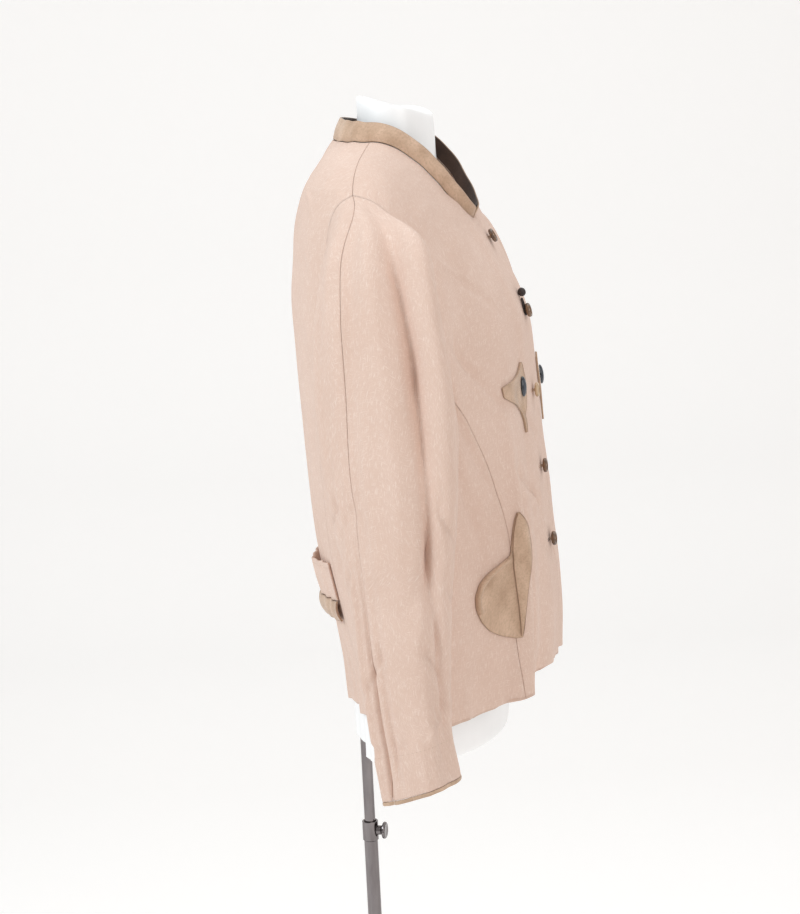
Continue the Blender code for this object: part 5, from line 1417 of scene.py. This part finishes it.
cord_frame = cloth_frame(1.0, BUTTON_Z[1], FRONT_TREE, 0.0012)
loop = cord_path(cord_frame)
along = unit(np.roll(loop, -1, axis=0) - np.roll(loop, 1, axis=0))
outward = np.tile(np.array(cord_frame.to_3x3() @ Vector((0.0, 0.0, 1.0))), (len(loop), 1))
cord_piece = swept("button_cord_loop", loop, unit(np.cross(along, outward)), outward,
                   round_profile(0.00095, 10), "cord",
                   closed=True)
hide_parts("button_cord")
knot_frame = cloth_frame(1.0, BUTTON_Z[1] + 0.0180, FRONT_TREE, 0.0002)
knot = turned_piece("button_cord_knob", [(0.0046 * math.sin(math.pi * k / 16) + 1e-6,
                                          0.0042 * (1 - math.cos(math.pi * k / 16)))
                                         for k in range(17)], 28, "cord", knot_frame,
                    lobes=lambda angle: 1 + 0.03 * math.cos(5 * angle))
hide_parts("button_cord_knot")

# %% [markdown]
# ## Collar, cuffs and half-belt
# The stand collar is a band of suede over a leather lining, leaning in towards the neck and
# narrowing to a rounded front. The lining's near-black colour is its own brown with painted shade of
# the collar's inside. Each cuff ends in a narrow suede binding. The half-belt is sewn down at its ends
# and stands away from the hollow of the back.

# %% Sizes of the trims
COLLAR_BACK, COLLAR_FRONT, COLLAR_END = 0.024, 0.013, 0.006
BELT_LOW, BELT_HIGH, BELT_TRIM_LOW = 0.953, 0.993, 0.931
BELT_THICK, BELT_REACH, BELT_BOW = 0.0026, 0.27, 0.010


def collar_point(turn, height):
    """A point of the stand collar, height up from the neck seam along its lean."""
    base = bodice(turn, np.full(np.shape(turn), NECK))
    angle = math.pi * turn
    ahead = -np.cos(angle)
    lean = np.stack([0.22 * np.sin(angle), -(0.36 + 0.24 * np.maximum(ahead, 0)) * np.abs(ahead) ** 0.7,
                     np.full(np.shape(turn), 0.93)], axis=-1)
    return base + unit(lean) * np.asarray(height)[..., None]

# %% Make the collar
def collar_layer(name, inset, thick, finish_name, low, high_share, node):
    """One layer of the stand collar, inset in from its outer face."""
    columns, rows = 361, 19
    turns = np.linspace(1.0 - COLLAR_END, -1.0 + COLLAR_END, columns)
    share = np.linspace(0.0, high_share, rows)[:, None]
    reach = np.abs(turns)
    full = COLLAR_BACK + (COLLAR_FRONT - COLLAR_BACK) * reach ** 1.6
    rounded = 1 - 0.55 * smooth_step(0.972, 1.0 - COLLAR_END, reach) ** 2
    heights = low + share * full * rounded
    grid = np.repeat(turns[None], rows, axis=0)
    points = collar_point(grid, heights)
    normals = unit(np.cross(np.gradient(points, axis=0), np.gradient(points, axis=1)))
    if normals[0, columns // 2, 1] < 0:
        normals = -normals
    belly = 0.0012 * np.sin(math.pi * np.clip(share / high_share, 0, 1)) * np.ones_like(grid)
    ripple = 0.0005 * wobble(grid * 3.0, heights * 30.0, 5.0, 11)
    points = points + normals * (belly * (1 if inset == 0 else 0.4) + ripple - inset)[..., None]
    piece = cloth_piece(name, ((points, normals, cloth_uv(points, columns // 2)),), thick, finish_name,
                        edge=0.0006)
    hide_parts(node)
    return piece, points, normals


collar_piece, collar_points, collar_normals = collar_layer("collar_suede", 0.0, SUEDE, "suede", 0.0005, 1.0,
                                                           "collar")
# the lining's near-black finish is painted shade over its own brown
lining_piece, _, _ = collar_layer("collar_lining_leather", SUEDE + 0.0003, 0.0012, "brown_leather", 0.0005,
                                  1.0, "collar_lining")
SHEETS["collar"], SHEETS["collar_lining"] = collar_piece, lining_piece
for label, row_number in (("low", 2), ("high", 16)):
    stitches(f"collar_{label}_stitches", collar_points[row_number, 6:-6], collar_normals[row_number, 6:-6])

# %% Make the cuff bindings
SECTION = [(-0.0021, -0.0034), (-0.0012, -0.0040), (-0.0004, -0.0040), (0.0004, -0.0034), (0.0006, -0.0022),
           (0.0005, -0.0009), (0.0002, -0.0003), (-0.0019, -0.0003), (-0.0023, -0.0014)]
for side, word in SIDES:
    turns = np.linspace(0.0, 1.0, 240, endpoint=False)
    rows = np.full(240, CUFF)
    ring = sleeve(side, turns, rows)
    ring_normals = sleeve_normal(sleeve, side, turns, rows)
    down = unit(sleeve(side, turns, rows) - sleeve(side, turns, rows - 0.05))
    binding = swept(f"cuff_trim_{word}_binding", ring, ring_normals, -down, SECTION, "suede", closed=True)
    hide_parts(f"cuff_trim_{word}")
    SHEETS[f"cuff_trim_{word}"] = binding
    for label, row in (("hem", 9.12),):
        turns = np.linspace(0.0, 1.0, 360)
        rows = np.full(360, row)
        stitches(f"sleeve_{word}_{label}_stitches", sleeve(side, turns, rows),
                 sleeve_normal(sleeve, side, turns, rows), pitch=0.0040, length=0.0024, radius=0.00022)


# %% Make the half-belt
def belt_piece(name, low, high, lift, thick, finish_name, node, roll=0.0):
    """A stretch of the half-belt: sewn down at its ends and standing off the centre back."""
    rows, columns = 15, 181
    turns = np.linspace(BELT_REACH, -BELT_REACH, columns)
    heights = np.linspace(low, high, rows)
    grid = np.repeat(turns[None], rows, axis=0)
    levels = level_at(grid, heights[:, None] + 0.010 * (np.abs(grid) / BELT_REACH) ** 2)
    mean = np.repeat(level_at(turns, (BELT_LOW + BELT_HIGH) / 2)[None], rows, axis=0)
    normals = unit(surface_normal(bodice_base, grid, mean) * np.array([1.0, 1.0, 0.15]))
    points = settled(bodice(grid, levels), normals, TREES[0])
    stand = BELT_BOW * np.cos(math.pi / 2 * grid / BELT_REACH) ** 1.5
    sag = 0.0011 * wobble(grid * 2.0, heights[:, None] * 12.0, 6.0,
                          17) * np.cos(math.pi / 2 * grid / BELT_REACH)
    swell = roll * np.sin(np.linspace(0, math.pi, rows))[:, None] ** 0.8
    points = points + normals * (stand + thick + lift + sag + swell)[..., None]
    piece = cloth_piece(name, ((points, normals, cloth_uv(points, columns // 2)),), thick, finish_name,
                        edge=0.0010)
    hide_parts(node)
    return piece, points, normals


belt, belt_points, belt_normals = belt_piece("half_belt_cloth", BELT_LOW, BELT_HIGH, 0.0004, BELT_THICK,
                                             "linen", "half_belt")
roll_piece, _, _ = belt_piece("half_belt_trim_suede", BELT_TRIM_LOW, BELT_LOW - 0.0006, 0.0012, BELT_THICK,
                              "suede",
                              "half_belt_trim", roll=0.003)
SHEETS["half_belt"], SHEETS["half_belt_trim"] = belt, roll_piece
stitches("half_belt_stitches", belt_points[12], belt_normals[12], pitch=0.0038, length=0.0024, radius=0.00022)

# %% [markdown]
# ## The form and its stand
# The form is one smooth body, as its rings are joined by curves; under the cloth it keeps a few
# millimetres clear. The stand is turned: a weighted disc, a tube with an open mouth, a clamp with a
# lobed screw, and the pole that slides in them.

# %% Sizes of the form
FORM_ROOM = 0.004
FORM_REST = 0.0022
FORM_AXIS = 0.075
FORM_CHEST_FALL = 0.014
FORM_BACK_FALL = 0.004


def form_ring(back, front, middle, half, back_z, side_z, front_z, turns):
    """One ring of the form."""
    angle = math.pi * turns
    ahead = -np.cos(angle)
    reach = np.where(ahead < 0, middle - back, front - middle)
    end_z = np.where(ahead < 0, back_z, front_z)
    z = side_z + (end_z - side_z) * ahead ** 2
    return np.stack([-half * np.sin(angle), -(middle + reach * ahead), z], axis=-1)

def held_inside(ring):
    """A level ring of the form, drawn in wherever it would come too near the cloth around it."""
    middle = np.array([0.0, -FORM_AXIS])
    turns = np.linspace(0.0, 2.0, 120, endpoint=False)
    cloth = bodice(turns, level_at(turns, ring[0, 2]))[:, :2] - middle
    bearing = np.arctan2(cloth[:, 0], cloth[:, 1])
    order = np.argsort(bearing)
    near = ring[:, :2] - middle
    reach = np.linalg.norm(near, axis=1)
    limit = np.interp(np.arctan2(near[:, 0], near[:, 1]), bearing[order],
                      np.linalg.norm(cloth, axis=1)[order], period=2 * math.pi)
    ring = ring.copy()
    ring[:, :2] = middle + near * (np.minimum(reach, limit - CLOTH - FORM_ROOM) / reach)[:, None]
    return ring
# %% Tables of the form
FORM_COLUMNS = ("z", "half_width", "back", "middle", "front")
FORM_ROWS = (
    (0.790, 0.140, -0.0086, 0.070, 0.155),
    (0.800, 0.144, -0.0088, 0.070, 0.157),
    (0.850, 0.146, -0.0088, 0.070, 0.160),
    (0.915, 0.140, -0.0090, 0.070, 0.155),
    (0.980, 0.128, -0.0060, 0.068, 0.143),
    (1.050, 0.120, -0.0020, 0.065, 0.134),
    (1.110, 0.125, -0.0060, 0.068, 0.142),
    (1.170, 0.138, -0.0150, 0.071, 0.156),
    (1.220, 0.148, -0.0220, 0.072, 0.166),
    (1.270, 0.155, -0.0250, 0.068, 0.150),
    (1.315, 0.158, -0.0200, 0.064, 0.130),
)
FORM_SHOULDER_LEVELS = (9.0, 9.65, 10.3)     # as the rows of the panels above them
FORM_ROOM = 0.004                            # kept between the rings above and the cloth
NECK_COLUMNS = ("back_z", "front_z", "half_width", "back", "middle", "front")
FORM_NECK = (
    (1.412, 1.372, 0.063, 0.022, 0.066, 0.116),
    (1.418, 1.382, 0.057, 0.025, 0.067, 0.110),
    (1.430, 1.400, 0.052, 0.028, 0.067, 0.107),
    (1.463, 1.440, 0.050, 0.028, 0.067, 0.106),
    (1.467, 1.444, 0.047, 0.031, 0.067, 0.103),
)

# %% Make the form
FORM_TURNS = 240


def dress_form():
    """The limbless form, from hips to neck, as one lofted body with rounded ends."""
    turns = np.linspace(0.0, 2.0, FORM_TURNS, endpoint=False)
    rings = []
    for row in FORM_ROWS:
        ring = dict(zip(FORM_COLUMNS, row))
        z = ring["z"]
        rings.append(held_inside(form_ring(ring["back"], ring["front"], ring["middle"], ring["half_width"],
                                           z, z, z, turns)))
    near = np.minimum(turns, 2.0 - turns)
    fall = FORM_CHEST_FALL * smooth_step(0.62, 0.92, near) + FORM_BACK_FALL * smooth_step(0.30, 0.05, near)
    for level in FORM_SHOULDER_LEVELS:
        levels = np.full(turns.shape, level)
        depth = CLOTH + FORM_REST + fall * (1.0 if level > SHOULDER else 1.4)
        rings.append(bodice_base(turns, levels) - surface_normal(bodice_base, turns, levels) * depth[:, None])
    for row in FORM_NECK:
        ring = dict(zip(NECK_COLUMNS, row))
        side_z = (ring["back_z"] + ring["front_z"]) / 2
        rings.append(form_ring(ring["back"], ring["front"], ring["middle"], ring["half_width"],
                               ring["back_z"], side_z, ring["front_z"], turns))
    rings = np.array(rings)
    fine = np.concatenate([np.linspace(k, k + 1,
                                       9)[:-1] for k in range(len(rings) - 1)] + [[len(rings) - 1.0]])
    flat = spline(rings.reshape(len(rings), -1), fine).reshape(len(fine), FORM_TURNS, 3)
    low_middle, top_middle = flat[0].mean(axis=0), flat[-1].mean(axis=0)
    low_rim = [low_middle + (flat[0] - low_middle) * share - np.array([0, 0, drop])
               for share, drop in ((0.90, 0.0), (0.96, 0.0), (0.985, -0.0008), (0.997, -0.0022))]
    top_rim = [top_middle + (flat[-1] - top_middle) * share + np.array([0, 0, rise])
               for share, rise in ((0.985, 0.0), (0.94, 0.0), (0.6, 0.0), (0.2, 0.0))]
    layers = low_rim + list(flat[1:]) + top_rim
    vertices = np.concatenate(layers)
    faces = []
    for i in range(len(layers) - 1):
        for j in range(FORM_TURNS):
            k = (j + 1) % FORM_TURNS
            faces.append((i * FORM_TURNS + j, (i + 1) * FORM_TURNS + j, (i + 1) * FORM_TURNS + k,
                          i * FORM_TURNS + k))
    faces.append(tuple(range(FORM_TURNS)))
    faces.append(tuple((len(layers) - 1) * FORM_TURNS + j for j in reversed(range(FORM_TURNS))))
    piece = add_piece("form_body", vertices, faces, "form_white", smooth=40.0)
    tidy = bmesh.new()
    tidy.from_mesh(piece.data)
    bmesh.ops.recalc_face_normals(tidy, faces=tidy.faces)
    tidy.to_mesh(piece.data)
    tidy.free()
    return piece


form = dress_form()
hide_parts("dress_form")
print("form", [round(v, 3) for v in form.dimensions])

# %% Make the stand
POLE_RADIUS, TUBE_RADIUS, TUBE_TOP, POLE_FOOT = 0.006, 0.0076, 0.658, 0.360
CLAMP_RADIUS, CLAMP_TOP, KNOB_RADIUS = 0.0088, 0.680, 0.0092
BASE_RADIUS, BASE_THICK, HUB_RADIUS, HUB_TOP = 0.165, 0.009, 0.020, 0.030


def rounded(corners, cut=0.0006):
    """A profile whose inner corners are cut to two points each, so that the edges catch the light."""
    points = [corners[0]]
    for before, here, after in zip(corners, corners[1:], corners[2:]):
        for other in (before, after):
            away = math.dist(here, other)
            share = min(cut / away, 0.45) if away > 0 else 0.0
            points.append((here[0] + (other[0] - here[0]) * share, here[1] + (other[1] - here[1]) * share))
    return points + [corners[-1]]


base = turned_piece("stand_base", rounded((
    (0.0, 0.0), (BASE_RADIUS - 0.002, 0.0), (BASE_RADIUS, 0.002), (BASE_RADIUS, 0.005),
    (BASE_RADIUS - 0.003, BASE_THICK - 0.001), (BASE_RADIUS - 0.010, BASE_THICK),
    (HUB_RADIUS + 0.010, BASE_THICK + 0.001), (HUB_RADIUS + 0.002, BASE_THICK + 0.003),
    (HUB_RADIUS, BASE_THICK + 0.006), (HUB_RADIUS - 0.001, HUB_TOP - 0.002),
    (HUB_RADIUS - 0.004, HUB_TOP), (TUBE_RADIUS + 0.0002, HUB_TOP), (0.0,
        HUB_TOP)), 0.0008), 144, "base_metal",
    body="stand", smooth=30.0)
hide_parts("base")
tube = turned_piece("stand_tube", rounded((
    (0.0, HUB_TOP - 0.004), (TUBE_RADIUS, HUB_TOP - 0.004), (TUBE_RADIUS, TUBE_TOP), (POLE_RADIUS + 0.0002,
        TUBE_TOP),
    (POLE_RADIUS + 0.0002, TUBE_TOP - 0.02), (0.0,
                                              TUBE_TOP - 0.02)), 0.0003), 64, "chrome",
    body="stand", smooth=30.0)
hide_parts("lower_tube")
clamp = turned_piece("stand_clamp", rounded((
    (CLAMP_RADIUS - 0.0012, TUBE_TOP + 0.0003), (CLAMP_RADIUS, TUBE_TOP + 0.0003), (CLAMP_RADIUS, CLAMP_TOP),
    (POLE_RADIUS + 0.0010, CLAMP_TOP), (POLE_RADIUS + 0.0002, CLAMP_TOP - 0.0015),
    (POLE_RADIUS + 0.0002, TUBE_TOP + 0.0003), (CLAMP_RADIUS - 0.0012,
                                                TUBE_TOP + 0.0003)), 0.0004), 64, "chrome",
    body="stand", smooth=30.0)
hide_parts("pole_clamp")
screw_middle = (TUBE_TOP + 0.0003 + CLAMP_TOP) / 2
forward = Matrix.Translation((0.0, 0.0, screw_middle)) @ Matrix.Rotation(math.pi / 2, 4, "X")
turned_piece("stand_clamp_boss", rounded((
    (0.0, CLAMP_RADIUS - 0.0015), (0.0052, CLAMP_RADIUS - 0.0015), (0.0052, 0.0129), (0.0,
        0.0129)), 0.0005), 48,
    "chrome", forward, body="stand", smooth=30.0)
knob = turned_piece("stand_screw", rounded((
    (0.0, 0.0062), (0.0022, 0.0062), (0.0022, 0.0134), (0.0040, 0.0134), (KNOB_RADIUS - 0.0016, 0.0142),
    (KNOB_RADIUS, 0.0150), (KNOB_RADIUS, 0.0172), (KNOB_RADIUS - 0.0014, 0.0184), (0.0050, 0.0176), (0.0,
        0.0174)),
    0.0004), 72, "chrome", forward, body="screw",
    lobes=lambda angle: 1 + 0.018 * math.cos(24 * angle), smooth=40.0)
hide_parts("clamp_screw")
pole = turned_piece("stand_pole", rounded((
    (0.0, POLE_FOOT), (POLE_RADIUS, POLE_FOOT), (POLE_RADIUS, 0.832), (0.0,
        0.832)), 0.0005), 64, "chrome", body="pole",
    smooth=30.0)
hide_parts("upper_pole")

# %% [markdown]
# ## What is cloth, and the size it was cut to
# The table below lists every piece of cloth with the flat size of what shows; the loop after it only
# looks each piece up. The areas were measured on these meshes, and leave out turnings and hems.

CUTS = {
    "front_right": ((0.56, 0.90), 0.193), "front_left": ((0.56, 0.90), 0.193),
    "back_right": ((0.50, 0.92), 0.170), "back_left": ((0.50, 0.92), 0.170),
    "side_right": ((0.24, 0.40), 0.077), "side_left": ((0.24, 0.40), 0.077),
    "pocket_right": ((0.070, 0.126), 0.0056), "pocket_left": ((0.070, 0.126), 0.0056),
    "pocket_petal_right": ((0.020, 0.124), 0.0021), "pocket_petal_left": ((0.020, 0.124), 0.0021),
    "pocket_welt_right": ((0.010, 0.070), 0.0007), "pocket_welt_left": ((0.010, 0.070), 0.0007),
    "chest_patch_right": ((0.057, 0.073), 0.0023), "chest_patch_left": ((0.057, 0.073), 0.0023),
    "collar": ((0.41, 0.026), 0.0097), "collar_lining": ((0.40, 0.026), 0.0093),
    "cuff_trim_right": ((0.26, 0.010), 0.0013), "cuff_trim_left": ((0.26, 0.010), 0.0013),
    "half_belt": ((0.30, 0.042), None), "half_belt_trim": ((0.30, 0.024), None),
}
for name, ((width, length), area) in CUTS.items():
    piece = panels.get(name) or SHEETS[name]

# %% [markdown]
# ## Finish
# The size of the box of everything shown is printed beside that of the imported model's box.

# %% Finish
shown = [list(corner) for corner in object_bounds()]
sizes = {"cad": cad_box, "visual": shown}
for word, corners in sizes.items():
    print(word, [round((high - low) * 1000, 1) for low, high in zip(*corners)], "mm")
